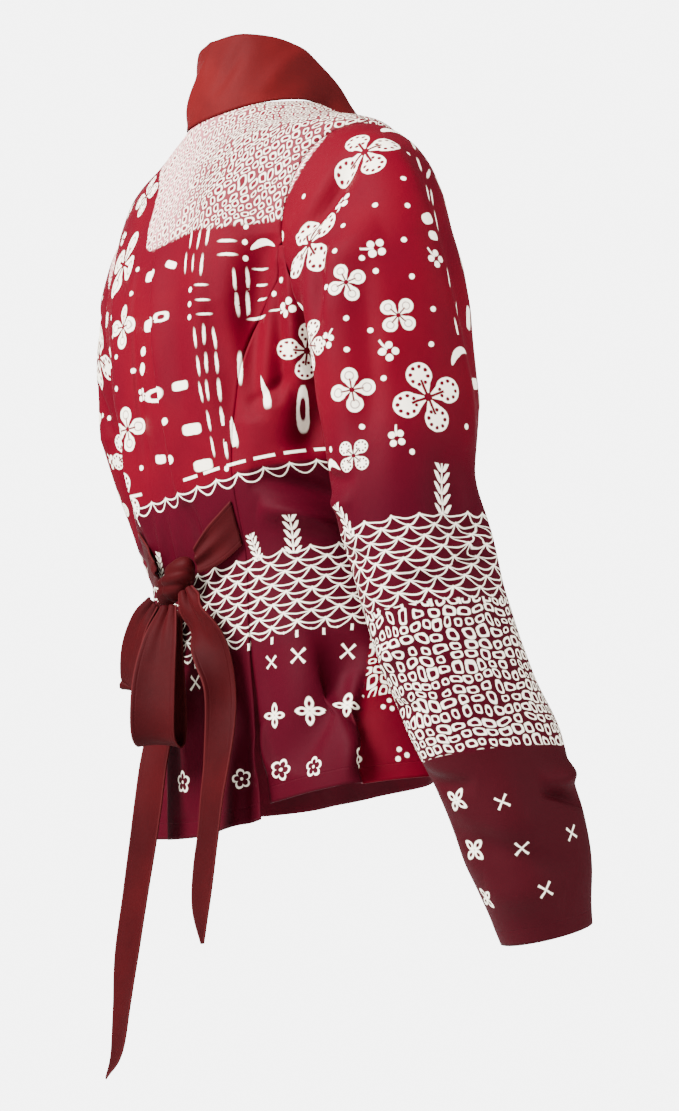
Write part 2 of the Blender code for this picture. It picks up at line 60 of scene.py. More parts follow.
Ring = namedtuple("Ring", "name back_z side_z front_z half_width back front middle_y square")
RINGS = (
    Ring("hem", -0.556, -0.541, -0.525, 0.160, 0.117, 0.128, -0.018, 2.1),
    Ring("peplum", -0.496, -0.484, -0.470, 0.147, 0.107, 0.118, -0.008, 2.1),
    Ring("high hip", -0.431, -0.421, -0.408, 0.132, 0.096, 0.106, 0.004, 2.1),
    Ring("waist", -0.368, -0.358, -0.344, 0.122, 0.086, 0.098, 0.012, 2.2),
    Ring("rib", -0.310, -0.301, -0.290, 0.128, 0.090, 0.106, 0.019, 2.2),
    Ring("under bust", -0.252, -0.245, -0.236, 0.136, 0.095, 0.116, 0.021, 2.2),
    Ring("armpit", -0.198, -0.196, -0.190, 0.146, 0.098, 0.122, 0.020, 2.25),
    Ring("cross back", -0.145, -0.144, -0.142, 0.157, 0.100, 0.112, 0.014, 2.3),
    Ring("blades", -0.096, -0.096, -0.098, 0.167, 0.092, 0.092, 0.008, 2.2),
    Ring("shoulder tip", -0.052, -0.043, -0.062, 0.157, 0.077, 0.074, 0.001, 2.15),
    Ring("mid shoulder", -0.026, -0.021, -0.043, 0.106, 0.065, 0.062, 0.000, 2.0),
    Ring("neck", -0.008, 0.000, -0.032, 0.061, 0.060, 0.056, -0.002, 2.0),
)
HEM, WAIST, ARMPIT, TIP, NECK = 0, 3, 6, 9, 11

# Each fold runs from one angle at its low end to another at its high end, is highest midway,
# stands out by its depth (or in, when that is negative) and leans round by so many degrees.
Fold = namedtuple("Fold", "low_angle high_angle half_angle depth lean low high")
FOLDS = (
    Fold(20, 30, 13, 0.010, 5, -3.0, 3.0),
    Fold(57, 58, 13, 0.014, 9, -3.0, 3.0),
    Fold(82, 79, 11, 0.008, 4, -2.8, 2.8),
    Fold(124, 120, 16, 0.010, 4, -2.8, 2.8),
    Fold(158, 160, 13, 0.008, 3, -2.8, 2.8),
    Fold(-14, -12, 13, 0.008, -4, -2.8, 2.8),
    Fold(-42, -38, 14, 0.012, -6, -3.0, 3.0),
    Fold(-76, -74, 14, 0.010, -5, -2.8, 2.8),
    Fold(-112, -110, 15, 0.010, -4, -2.8, 2.8),
    Fold(-152, -154, 14, 0.009, -3, -2.8, 2.8),
    Fold(54, 60, 15, -0.009, 0, 4.8, 9.6),
    Fold(-52, -60, 14, -0.007, 0, 4.8, 9.2),
    Fold(30, 36, 10, 0.004, 2, 4.2, 9.6),
    Fold(-20, -16, 7, 0.003, 3, 3.4, 9.0),
    Fold(-38, -34, 7, 0.003, 3, 3.4, 8.6),
)

ARMHOLE_HALF_ANGLE = 25.0
ARMHOLE_STEPS = 10
ARMHOLE_SPREAD = 0.07

SEAM_STEP = 4  # armhole step at which the princess seam meets the armhole
SeamPoint = namedtuple("SeamPoint", "place angle")
PRINCESS_SEAM = (
    SeamPoint(0.0, 37),
    SeamPoint(1.5, 39.5),
    SeamPoint(3.0, 44.5),
    SeamPoint(4.5, 46.5),
    SeamPoint(6.0, 55),
    SeamPoint(6.7, 64),
)
VENT_LIFT = 0.009  # how far the centre back's edge stands out over the side back's at the hem
VENT_ANGLE = 16.0
HEM_DROP = 0.012  # how much lower the centre back hangs
SEAM_TIP_ANGLE = 0.5  # how many degrees wide a side back still is where its seam ends

FRONT_EDGE = (
    SeamPoint(0.0, 179.7),
    SeamPoint(5.6, 179.7),
    SeamPoint(6.6, 172),
    SeamPoint(8.0, 157),
    SeamPoint(9.5, 139),
    SeamPoint(11.0, 112),
)

# The collar's top edge, from the centre back to the foot of the neckline's V.
CollarPoint = namedtuple("CollarPoint", "share x y z")
COLLAR_TOP = (
    CollarPoint(0.00, 0.000, 0.042, 0.060),
    CollarPoint(0.12, 0.037, 0.031, 0.058),
    CollarPoint(0.24, 0.053, -0.002, 0.048),
    CollarPoint(0.36, 0.056, -0.037, 0.020),
    CollarPoint(0.50, 0.046, -0.072, -0.016),
    CollarPoint(0.72, 0.022, -0.101, -0.078),
    CollarPoint(0.86, 0.006, -0.109, -0.122),
    CollarPoint(1.00, 0.002, -0.110, -0.170),
)
COLLAR_BELLY = 0.0015
NECK_SHARE = 0.36  # share of the collar that stands on the neck ring; the rest follows the V
COLLAR_FOOT = 5.9
COLLAR_GAP_ANGLE = 0.7
COLLAR_OUT = 0.0006  # how far its base stands out from the neckline
COLLAR_RISE = 0.0008

# A sleeve's sections from the upper arm to the cuff.
Section = namedtuple("Section", "x y z across deep")
RIGHT_ARM = (
    Section(0.197, 0.024, -0.205, 0.046, 0.067),
    Section(0.202, 0.023, -0.275, 0.047, 0.063),
    Section(0.206, 0.027, -0.335, 0.047, 0.055),
    Section(0.209, 0.015, -0.400, 0.047, 0.054),
    Section(0.211, -0.006, -0.470, 0.045, 0.054),
    Section(0.212, -0.036, -0.545, 0.043, 0.051),
    Section(0.210, -0.055, -0.600, 0.041, 0.049),
    Section(0.205, -0.070, -0.662, 0.032, 0.036),
)
LEFT_ARM = (
    Section(0.197, -0.010, -0.205, 0.046, 0.060),
    Section(0.200, -0.030, -0.270, 0.048, 0.058),
    Section(0.206, -0.054, -0.330, 0.048, 0.056),
    Section(0.204, -0.088, -0.380, 0.048, 0.056),
    Section(0.188, -0.134, -0.418, 0.046, 0.053),
    Section(0.162, -0.178, -0.446, 0.044, 0.050),
    Section(0.134, -0.216, -0.468, 0.041, 0.047),
    Section(0.106, -0.252, -0.487, 0.034, 0.038),
)
# Round an arm an angle goes from the side that faces the body (0) over the back (90) and the
# outer side (180) to the front (270).
ARM_FOLDS = (
    Fold(262, 278, 62, 0.007, 0, 4.15, 5.45),
    Fold(262, 292, 66, -0.008, 0, 4.75, 6.15),
    Fold(215, 300, 30, 0.005, 0, 5.1, 6.9),
    Fold(120, 150, 34, 0.005, 0, 4.6, 6.6),
    Fold(300, 330, 30, -0.004, 0, 2.1, 3.9),
    Fold(235, 215, 26, 0.004, 0, 1.6, 4.0),
    Fold(150, 110, 26, -0.003, 0, 0.4, 2.6),
)
RUN_SAMPLE = 0.2
CapEnd = namedtuple("CapEnd", "turn leave arrive")
CAP_LOW = CapEnd(66, 0.7, 0.75)
CAP_HIGH = CapEnd(22, 1.2, 1.25)
ARM_SPLAY = 0.05
ARM_LENGTH = 0.49  # upper arm to cuff, along the middle line
CAP_LENGTH = 0.11
ARM_ROUND = 0.34

TIE_WIDTH = 0.034
StrapPoint = namedtuple("StrapPoint", "angle place lift share slant")
STRAP = (
    StrapPoint(43.6, 3.44, 0.0022, 1.00, 0.6),
    StrapPoint(37.0, 3.32, 0.0040, 0.98, 0.5),
    StrapPoint(31.0, 3.22, 0.0070, 0.90, 0.5),
    StrapPoint(27.0, 3.14, 0.0110, 0.76, 0.0),
    StrapPoint(23.5, 3.08, 0.0140, 0.55, 0.0),
)
LEFT_STRAP_SHIFT = 13.0
TIE_CURL = 0.12

Run = namedtuple("Run", "x y z heading dip share")
TIE_RUNS = {
    "tie_loop_right": (
        Run(-0.016, 0.1220, -0.3930, 20, 10, 0.45),
        Run(-0.020, 0.1330, -0.4160, 32, 12, 0.80),
        Run(-0.020, 0.1410, -0.4460, 38, 14, 1.00),
        Run(-0.020, 0.1450, -0.4740, 40, 14, 1.05),
        Run(-0.016, 0.1430, -0.4930, 40, 10, 1.05),
        Run(-0.010, 0.1340, -0.4990, 40, 6, 1.05),
        Run(-0.005, 0.1260, -0.4900, 40, 0, 1.00),
        Run(-0.006, 0.1230, -0.4600, 36, -4, 0.92),
        Run(-0.010, 0.1190, -0.4240, 26, -4, 0.62),
        Run(-0.012, 0.1140, -0.3960, 16, 0, 0.36),
    ),
    "tie_loop_left": (
        Run(0.0120, 0.1190, -0.3860, -4, 56, 0.45),
        Run(0.0230, 0.1260, -0.4000, -4, 44, 0.75),
        Run(0.0340, 0.1290, -0.4220, -4, 34, 0.95),
        Run(0.0430, 0.1265, -0.4450, -4, 30, 1.00),
        Run(0.0470, 0.1200, -0.4510, -4, 32, 1.00),
        Run(0.0410, 0.1150, -0.4330, -4, 38, 0.95),
        Run(0.0280, 0.1135, -0.4050, -4, 48, 0.75),
        Run(0.0130, 0.1120, -0.3890, -4, 58, 0.36),
    ),
    "tie_tail_right": (
        Run(-0.0340, 0.1170, -0.3830, 10, 40, 0.40),
        Run(-0.0430, 0.1180, -0.3990, 5, 36, 0.80),
        Run(-0.0520, 0.1150, -0.4170, 10, 30, 0.95),
        Run(-0.0600, 0.1130, -0.4390, 40, 20, 0.85),
        Run(-0.0660, 0.1120, -0.4620, 60, 10, 0.72),
        Run(-0.0670, 0.1140, -0.4880, 40, 6, 0.72),
        Run(-0.0650, 0.1180, -0.5170, 15, 4, 0.80),
        Run(-0.0610, 0.1220, -0.5450, 5, 4, 0.84),
        Run(-0.0560, 0.1240, -0.5710, 0, 4, 0.88),
        Run(-0.0490, 0.1260, -0.5980, 0, 6, 0.88),
        Run(-0.0430, 0.1270, -0.6240, 0, 20, 0.70),
        Run(-0.0440, 0.1280, -0.6510, 0, 40, 0.10),
    ),
    "tie_tail_left": (
        Run(0.0010, 0.1085, -0.3960, 0, 8, 0.40),
        Run(0.0130, 0.1075, -0.4180, 0, 22, 0.70),
        Run(0.0250, 0.1085, -0.4480, 4, 16, 0.90),
        Run(0.0270, 0.1140, -0.4880, 10, 8, 0.92),
        Run(0.0280, 0.1210, -0.5170, 14, 6, 0.90),
        Run(0.0340, 0.1275, -0.5610, 14, 4, 0.88),
        Run(0.0430, 0.1330, -0.6050, 10, 2, 0.88),
        Run(0.0520, 0.1390, -0.6500, 6, 0, 0.90),
        Run(0.0580, 0.1430, -0.6900, 0, -6, 0.80),
        Run(0.0650, 0.1460, -0.7230, 0, -24, 0.60),
        Run(0.0810, 0.1480, -0.7440, 0, -40, 0.10),
    ),
}
KNOT_CENTRE = Vector((-0.014, 0.1135, -0.3740))
KNOT_SIZE = Vector((0.026, 0.0115, 0.0130))
KNOT_TILT = 30.0
KNOT_GROOVE = 0.16  # depth of the groove round it, as a share of its size
KNOT_GROOVE_AT = 0.3
KNOT_GROOVE_WIDTH = 0.16
KNOT_GROOVE_SLANT = 0.35
KNOT_SEGMENTS, KNOT_RINGS = 64, 40
# Pleats along the wrap of the knot: where each is across it, how wide, and how far it stands out.
Pleat = namedtuple("Pleat", "at width depth")
KNOT_PLEATS = (
    Pleat(-0.66, 0.16, 0.07),
    Pleat(-0.28, 0.11, -0.12),
    Pleat(0.08, 0.18, 0.07),
    Pleat(0.44, 0.10, -0.10),
    Pleat(0.80, 0.12, 0.04),
)
PLEAT_SLANT = 0.8
GATHER = 0.030  # how far the knot's gathers run along a strap, loop or tail

# ---------------------------------------------------------------- creases

# A crease is a soft ridge, or a trough when its depth is negative, from one point of the flat
# cloth to another. Its middle is bowed out to the right of that run, and it falls away to its left
# and to its right over widths of their own. On the body, across is metres round from the centre
# back and up is metres above the waist; on a sleeve, across is metres round from the outer line
# towards the front and up is metres above the upper arm; on the collar, up is from the neckline.
Crease = namedtuple("Crease", "across up to_across to_up bow left right depth")
BODY_CREASES = (
    Crease(0.020, 0.050, 0.008, 0.262, 0.007, 0.0046, 0.016, 0.0044),
    Crease(-0.054, 0.045, -0.060, 0.240, 0.009, 0.0046, 0.015, 0.0038),
    Crease(-0.036, -0.010, -0.052, 0.110, 0.003, 0.0046, 0.014, 0.0036),
    Crease(-0.020, 0.080, -0.026, 0.200, 0.002, 0.010, 0.010, -0.0016),
    Crease(0.085, 0.068, 0.082, 0.195, 0.003, 0.012, 0.010, -0.0034),
    Crease(0.104, 0.098, 0.130, 0.238, -0.004, 0.015, 0.010, -0.0080),
    Crease(0.124, 0.105, 0.142, 0.215, 0.006, 0.011, 0.005, -0.0056),
    Crease(0.151, 0.100, 0.148, 0.214, -0.006, 0.006, 0.012, 0.0052),
    Crease(0.136, 0.066, 0.160, 0.116, 0.003, 0.014, 0.012, -0.0075),
    Crease(0.098, 0.112, 0.144, 0.132, 0.003, 0.004, 0.005, -0.0018),
    Crease(0.094, 0.034, 0.156, 0.006, -0.003, 0.007, 0.010, 0.0066),
    Crease(0.092, 0.056, 0.162, 0.030, -0.003, 0.009, 0.007, -0.0070),
    Crease(-0.022, 0.006, -0.016, 0.056, 0.001, 0.006, 0.006, 0.0026),
    Crease(0.000, 0.004, 0.003, 0.052, 0.001, 0.006, 0.007, 0.0022),
    Crease(0.030, 0.004, 0.026, 0.056, 0.002, 0.006, 0.006, -0.0024),
    Crease(0.116, -0.172, 0.158, -0.076, 0.006, 0.022, 0.012, -0.0064),
    Crease(0.162, -0.195, 0.165, -0.100, 0.002, 0.009, 0.004, 0.0050),
    Crease(0.100, -0.172, 0.084, -0.128, -0.006, 0.005, 0.004, 0.0024),
    Crease(0.036, -0.165, 0.030, -0.060, 0.004, 0.010, 0.012, -0.0040),
    Crease(-0.012, -0.175, -0.004, -0.070, 0.004, 0.012, 0.009, 0.0036),
    Crease(-0.110, 0.104, -0.130, 0.226, 0.004, 0.011, 0.013, -0.0050),
    Crease(-0.150, 0.094, -0.147, 0.206, 0.004, 0.012, 0.006, 0.0040),
    Crease(-0.088, 0.066, -0.084, 0.205, -0.003, 0.011, 0.012, -0.0020),
    Crease(-0.150, 0.014, -0.074, 0.034, -0.003, 0.006, 0.009, 0.0030),
    Crease(-0.152, 0.036, -0.092, 0.050, 0.002, 0.007, 0.008, -0.0026),
    Crease(-0.128, -0.176, -0.104, -0.078, 0.005, 0.012, 0.009, 0.0042),
    Crease(-0.070, -0.160, -0.080, -0.062, -0.004, 0.010, 0.012, -0.0036),
    Crease(0.232, 0.020, 0.222, 0.160, 0.005, 0.012, 0.008, 0.0034),
    Crease(0.268, 0.030, 0.246, 0.196, -0.006, 0.010, 0.014, -0.0040),
    Crease(0.190, 0.124, 0.244, 0.176, 0.004, 0.007, 0.010, 0.0030),
    Crease(0.196, 0.024, 0.262, 0.052, 0.003, 0.006, 0.009, 0.0026),
    Crease(0.226, -0.150, 0.220, -0.040, 0.004, 0.011, 0.008, 0.0040),
    Crease(0.290, -0.165, 0.272, -0.035, -0.005, 0.012, 0.012, -0.0042),
    Crease(-0.226, 0.026, -0.232, 0.150, -0.004, 0.009, 0.013, 0.0032),
    Crease(-0.280, 0.020, -0.252, 0.184, 0.006, 0.013, 0.010, -0.0040),
    Crease(-0.186, 0.116, -0.238, 0.182, -0.003, 0.010, 0.007, 0.0032),
    Crease(-0.200, 0.040, -0.270, 0.058, 0.003, 0.007, 0.009, -0.0024),
    Crease(-0.236, -0.160, -0.228, -0.045, -0.004, 0.009, 0.012, 0.0038),
    Crease(-0.300, -0.150, -0.278, -0.040, 0.004, 0.012, 0.010, -0.0040),
)
RIGHT_SLEEVE_CREASES = (
    Crease(0.036, -0.110, -0.022, 0.165, 0.004, 0.034, 0.013, 0.0062),
    Crease(-0.112, 0.092, -0.036, 0.138, 0.006, 0.008, 0.013, -0.0068),
    Crease(-0.086, -0.016, -0.080, 0.064, -0.004, 0.011, 0.008, -0.0054),
    Crease(-0.092, 0.044, -0.030, 0.060, 0.004, 0.012, 0.016, 0.0024),
    Crease(-0.056, -0.100, -0.046, 0.040, 0.005, 0.016, 0.010, -0.0034),
    Crease(-0.104, -0.114, -0.064, -0.126, 0.001, 0.005, 0.006, -0.0026),
    Crease(-0.104, -0.132, -0.070, -0.142, 0.001, 0.005, 0.006, 0.0026),
    Crease(-0.104, -0.172, -0.058, -0.184, 0.003, 0.007, 0.009, -0.0024),
    Crease(-0.010, -0.200, 0.016, -0.110, 0.003, 0.014, 0.010, -0.0036),
    Crease(-0.046, -0.198, -0.006, -0.212, 0.003, 0.006, 0.008, -0.0040),
    Crease(-0.008, -0.196, 0.040, -0.186, -0.003, 0.006, 0.005, -0.0046),
    Crease(0.000, -0.174, 0.046, -0.158, 0.002, 0.007, 0.005, -0.0036),
    Crease(-0.020, -0.184, 0.034, -0.174, 0.003, 0.004, 0.005, 0.0026),
    Crease(-0.100, -0.262, -0.052, -0.240, 0.003, 0.007, 0.009, 0.0026),
    Crease(-0.096, -0.290, -0.060, -0.300, 0.002, 0.006, 0.007, -0.0026),
    Crease(-0.098, -0.344, -0.048, -0.362, 0.003, 0.006, 0.008, -0.0030),
    Crease(-0.002, -0.373, 0.046, -0.381, -0.001, 0.005, 0.004, -0.0060),
    Crease(0.002, -0.366, 0.046, -0.352, 0.004, 0.009, 0.006, 0.0044),
    Crease(-0.088, -0.393, 0.014, -0.426, 0.006, 0.013, 0.012, -0.0036),
    Crease(-0.066, -0.440, -0.002, -0.452, 0.004, 0.014, 0.012, 0.0026),
    Crease(0.060, 0.060, 0.120, 0.110, 0.004, 0.010, 0.014, -0.0034),
    Crease(0.070, -0.070, 0.140, -0.040, 0.005, 0.010, 0.008, 0.0030),
    Crease(0.062, -0.172, 0.136, -0.196, 0.004, 0.007, 0.009, -0.0044),
    Crease(0.070, -0.214, 0.130, -0.206, -0.003, 0.007, 0.008, 0.0034),
    Crease(0.074, -0.300, 0.120, -0.270, 0.003, 0.009, 0.008, -0.0026),
    Crease(-0.150, 0.010, -0.120, 0.070, 0.003, 0.010, 0.008, 0.0028),
    Crease(-0.156, -0.200, -0.122, -0.150, 0.003, 0.008, 0.010, -0.0030),
)
LEFT_SLEEVE_CREASES = (
    Crease(0.020, -0.080, -0.026, 0.150, 0.005, 0.026, 0.014, 0.0036),
    Crease(-0.098, 0.100, -0.040, 0.118, 0.004, 0.009, 0.011, -0.0040),
    Crease(-0.090, -0.016, -0.078, 0.050, -0.003, 0.009, 0.010, -0.0034),
    Crease(0.046, -0.128, 0.134, -0.150, 0.004, 0.006, 0.008, -0.0048),
    Crease(0.040, -0.150, 0.138, -0.168, -0.003, 0.006, 0.007, 0.0040),
    Crease(0.050, -0.176, 0.136, -0.184, 0.003, 0.006, 0.007, -0.0048),
    Crease(0.058, -0.212, 0.128, -0.200, 0.003, 0.007, 0.008, 0.0036),
    Crease(-0.090, -0.190, -0.020, -0.150, 0.006, 0.014, 0.018, 0.0026),
    Crease(-0.084, -0.300, -0.030, -0.322, 0.003, 0.009, 0.011, -0.0030),
    Crease(-0.010, -0.372, 0.060, -0.350, 0.003, 0.008, 0.010, -0.0030),
    Crease(-0.070, -0.412, 0.010, -0.436, 0.005, 0.012, 0.010, 0.0026),
    Crease(0.074, 0.050, 0.124, 0.104, 0.004, 0.010, 0.012, -0.0032),
    Crease(-0.150, -0.060, -0.118, 0.010, 0.003, 0.009, 0.009, 0.0026),
)
COLLAR_CREASES = (
    Crease(-0.085, 0.006, -0.020, 0.064, 0.004, 0.008, 0.011, -0.0018),
    Crease(-0.050, 0.004, 0.004, 0.056, 0.003, 0.007, 0.006, 0.0014),
    Crease(0.016, 0.016, 0.040, 0.060, 0.002, 0.006, 0.008, -0.0016),
    Crease(0.060, 0.006, 0.098, 0.052, -0.004, 0.008, 0.010, 0.0014),
    Crease(-0.150, 0.010, -0.105, 0.056, 0.003, 0.009, 0.008, 0.0014),
    Crease(0.120, 0.012, 0.170, 0.050, 0.003, 0.008, 0.010, -0.0014),
)

RIPPLE, TIE_RIPPLE, TIE_PLEAT = 0.0007, 0.0009, 0.0016
COLLAR_RIPPLE_SHARE = 0.6

# Slow unevenness of the cloth: waves per metre across and up, where each starts, and its share.
Ripple = namedtuple("Ripple", "across up start share")
RIPPLES = (
    Ripple(9.0, 5.0, 0.3, 0.30),
    Ripple(-6.0, 11.0, 1.9, 0.25),
    Ripple(17.0, 4.0, 4.1, 0.18),
    Ripple(5.0, -19.0, 2.6, 0.12),
    Ripple(24.0, 13.0, 5.5, 0.09),
    Ripple(-21.0, 27.0, 0.9, 0.06),
)
SLEEVE_RIPPLE_START, TIE_RIPPLE_START = 0.4, 0.7
TIE_RIPPLE_STRETCH = (1.6, 0.9)
STRAP_PLEATS, RIBBON_PLEATS = (2.1, -0.4), (2.3, 0.6)  # waves across the cloth, and where they start
SLEEVE_SETTLE = 0.02  # the creases fade out over this length at a sleeve's ends
COLLAR_SETTLE = 0.15  # and over this share of the collar's height at its base


# ---------------------------------------------------------------- curves and surfaces


def spline(table, column, place, key=None):
    """Smooth values of a column, through every row; rows are one apart or placed by key."""
    values = np.array([getattr(row, column) for row in table], float)
    places = np.array([getattr(row, key) for row in table] if key else range(len(table)), float)
    place = np.clip(place, places[0], places[-1])
    row = np.clip(np.searchsorted(places, place, side="right") - 1, 0, len(table) - 2)
    near = [np.clip(row + k, 0, len(table) - 1) for k in (-1, 0, 1, 2)]
    v0, v1, v2, v3 = (values[rows] for rows in near)
    p0, p1, p2, p3 = (places[rows] for rows in near)
    step = p2 - p1
    before = (v2 - v0) / (p2 - p0) * step
    after = (v3 - v1) / (p3 - p1) * step
    t = (place - p1) / step
    return (
        v1 * (2 * t**3 - 3 * t**2 + 1)
        + before * (t**3 - 2 * t**2 + t)
        + v2 * (3 * t**2 - 2 * t**3)
        + after * (t**3 - t**2)
    )


def fold_height(fold, angle, place):
    """How much of a fold there is at each point, from 0 to 1."""
    along = (place - fold.low) / (fold.high - fold.low)
    centre = fold.low_angle + (fold.high_angle - fold.low_angle) * np.maximum(place, 0) / fold.high
    off = (angle - centre + 180) % 360 - 180
    height = np.sin(np.pi * along) ** 2 * (0.5 + 0.5 * np.cos(np.pi * off / fold.half_angle))
    return np.where((along > 0) & (along < 1) & (np.abs(off) < fold.half_angle), height, 0.0)


def body_point(angle, place, lift=0.0):
    """Points of the body's outer surface, or moved out from it by lift."""
    angle, place, lift = np.broadcast_arrays(np.asarray(angle, float), place, lift)
    heights = [(fold, fold_height(fold, angle, place)) for fold in FOLDS]
    turned = np.radians(angle + sum(fold.lean * height for fold, height in heights))
    width = spline(RINGS, "half_width", place)
    side, up_back = np.sin(turned), np.cos(turned)
    behind = up_back > 0
    reach = np.where(behind, spline(RINGS, "back", place), spline(RINGS, "front", place))
    square = spline(RINGS, "square", place)
    radius = (np.abs(side / width) ** square + np.abs(up_back / reach) ** square) ** (-1 / square)
    outward = np.stack([-side / width**2, up_back / reach**2, np.zeros_like(side)], -1)
    outward /= np.linalg.norm(outward, axis=-1, keepdims=True)
    side_z = spline(RINGS, "side_z", place)
    end_z = np.where(behind, spline(RINGS, "back_z", place), spline(RINGS, "front_z", place))
    x = -radius * side
    y = radius * up_back + spline(RINGS, "middle_y", place)
    z = side_z + (end_z - side_z) * up_back**2
    bulge = lift + sum(fold.depth * height for fold, height in heights)
    return np.stack([x, y, z], -1) + outward * bulge[..., None]


def armhole_turn(step):
    """How far round the armhole's oval a step is, from the armpit (0)."""
    share = step / ARMHOLE_STEPS
    return np.pi * (share + ARMHOLE_SPREAD * np.sin(2 * np.pi * share))


def armhole_place(step):
    """Place of an armhole step, from the armpit to the shoulder tip."""
    return (ARMPIT + TIP) / 2 - (TIP - ARMPIT) / 2 * np.cos(armhole_turn(step))


def armhole_angle(step):
    """Angle of the armhole's back edge at a step; its front edge is as far past the side."""
    return 90 - ARMHOLE_HALF_ANGLE * np.sin(armhole_turn(step))


def seam_angle(place):
    """Angle of the princess seam."""
    return spline(PRINCESS_SEAM, "angle", place, "place")


def front_edge(place):
    """Angle of a front's edge."""
    return np.minimum(FRONT_EDGE[0].angle, spline(FRONT_EDGE, "angle", place, "place"))


def vent(place):
    """How far the seam below the waist has opened: 1 at the hem, 0 at the waist."""
    return np.maximum(0.0, 1 - place / WAIST) ** 2


def lengths(points, axis):
    """Distances along a grid of points, from the first one of each line."""
    steps = np.linalg.norm(np.diff(points, axis=axis), axis=-1)
    start = np.zeros_like(np.take(steps, [0], axis=axis))
    return np.concatenate([start, np.cumsum(steps, axis=axis)], axis=axis)


CHART_ANGLE_STEP, CHART_PLACE_STEP = 2.0, 0.05


def body_chart():
    """The body's cloth laid flat: metres across and up, for each angle and place of a lattice."""
    angles = np.arange(-180, 180 + CHART_ANGLE_STEP, CHART_ANGLE_STEP)
    places = np.arange(0, NECK + CHART_PLACE_STEP / 2, CHART_PLACE_STEP)
    points = body_point(angles[None, :], places[:, None])
    across = lengths(points, 1)
    across -= across[:, [len(angles) // 2]]
    up = lengths(points, 0)
    up -= up[[round(WAIST / CHART_PLACE_STEP)]]
    return np.stack([across, up], -1), points


BODY_CHART, BODY_CHART_POINTS = body_chart()
LATTICE_REACH = 3  # steps to each side over which a lattice's directions are taken
CREASE_FULLNESS = 0.7  # below 1, a crease keeps more of its depth towards its ends
UP = np.array([0.0, 0.0, 1.0])


def lattice_spot(flat, points, place):
    """Where a place of the flat cloth lies in space, and the cloth's two directions there."""
    off = np.linalg.norm(flat - place, axis=-1)
    row, column = np.unravel_index(np.argmin(off), off.shape)
    (low, high), (left, right) = (
        (max(at - LATTICE_REACH, 0), min(at + LATTICE_REACH, size - 1))
        for at, size in zip((row, column), off.shape)
    )
    pairs = ((row, left), (row, right)), ((low, column), (high, column))
    on_flat = np.stack([flat[to] - flat[start] for start, to in pairs], 1)
    in_space = np.stack([points[to] - points[start] for start, to in pairs], 1)
    slope = in_space @ np.linalg.inv(on_flat)
    middle = points[row, column] + slope @ (place - flat[row, column])
    up = unit(slope[:, 1])
    return middle, unit(slope[:, 0] - up * (slope[:, 0] @ up)), up


def body_flat(angle, place):
    """Where points of the body lie on the flat cloth."""
    angle, place = np.broadcast_arrays(angle, place)
    i = (angle + 180) / CHART_ANGLE_STEP
    j = place / CHART_PLACE_STEP
    i0 = np.clip(np.floor(i).astype(int), 0, BODY_CHART.shape[1] - 2)
    j0 = np.clip(np.floor(j).astype(int), 0, BODY_CHART.shape[0] - 2)
    s, t = (i - i0)[..., None], (j - j0)[..., None]
    low = BODY_CHART[j0, i0] * (1 - s) + BODY_CHART[j0, i0 + 1] * s
    high = BODY_CHART[j0 + 1, i0] * (1 - s) + BODY_CHART[j0 + 1, i0 + 1] * s
    return low * (1 - t) + high * t


def crease_lift(creases, flat):
    """How far the creases raise each point of the flat cloth."""
    lift = np.zeros(flat.shape[:-1])
    for crease in creases:
        run = np.array([crease.to_across - crease.across, crease.to_up - crease.up])
        length = np.linalg.norm(run)
        off = flat - np.array([crease.across, crease.up])
        along = np.clip(off @ run / length**2, 0, 1)
        beside = (off[..., 0] * run[1] - off[..., 1] * run[0]) / length
        beside -= 4 * crease.bow * along * (1 - along)
        width = np.where(beside < 0, crease.left, crease.right)
        lift += crease.depth * np.sin(np.pi * along) ** CREASE_FULLNESS * np.exp(-((beside / width) ** 2))
    return lift


def ripple(flat):
    """Slow unevenness of the cloth, from about -1 to 1."""
    across, up = flat[..., 0], flat[..., 1]
    return sum(
        wave.share * np.sin(2 * np.pi * (wave.across * across + wave.up * up) + wave.start)
        for wave in RIPPLES
    )


def edge_reach(points):
    """Distances from a grid's sides, from its first row and from its last row."""
    across, up = lengths(points, 1), lengths(points, 0)
    return np.minimum(across, across[:, [-1]] - across), up, up[[-1]] - up


def outward_normals(points, closed):
    """Unit normals of a grid of points."""
    if closed:
        wrapped = np.concatenate([points[:, -2:-1], points, points[:, 1:2]], axis=1)
        across = (wrapped[:, 2:] - wrapped[:, :-2]) / 2
    else:
        across = np.gradient(points, axis=1)
    normals = np.cross(across, np.gradient(points, axis=0))
    return normals / np.maximum(np.linalg.norm(normals, axis=-1, keepdims=True), 1e-12)


# ---------------------------------------------------------------- the panels' points

PANEL_GAP = 0.0002

# Rough sizes of the panels, which set how many faces go along them.
ARMHOLE_LENGTH, PEPLUM_LENGTH, RIB_LENGTH, SHOULDER_LENGTH = 0.155, 0.190, 0.170, 0.110
BACK_WIDTH, SIDE_WIDTH, FRONT_WIDTH = 0.105, 0.115, 0.185
COLLAR_LENGTH, COLLAR_HEIGHT, STRAP_LENGTH = 0.26, 0.07, 0.05


class Cloth:
    """Points of a cloth's outer face, row by row, with what its finish needs at each of them."""

    def __init__(self, points, flat, closed=False):
        self.points = points
        self.flat = flat
        self.closed = closed
        self.zones = np.zeros(points.shape[:2] + (4,))
        self.dye = np.zeros(points.shape[:2])
        self.motifs = ()
        self.lattice = (flat, points)

    def push(self, lift):
        """Moves each point out from the face by its own lift."""
        self.points = self.points + outward_normals(self.points, self.closed) * lift[..., None]


def steps(length, face):
    """How many faces go along a length."""
    return max(1, round(length / face))


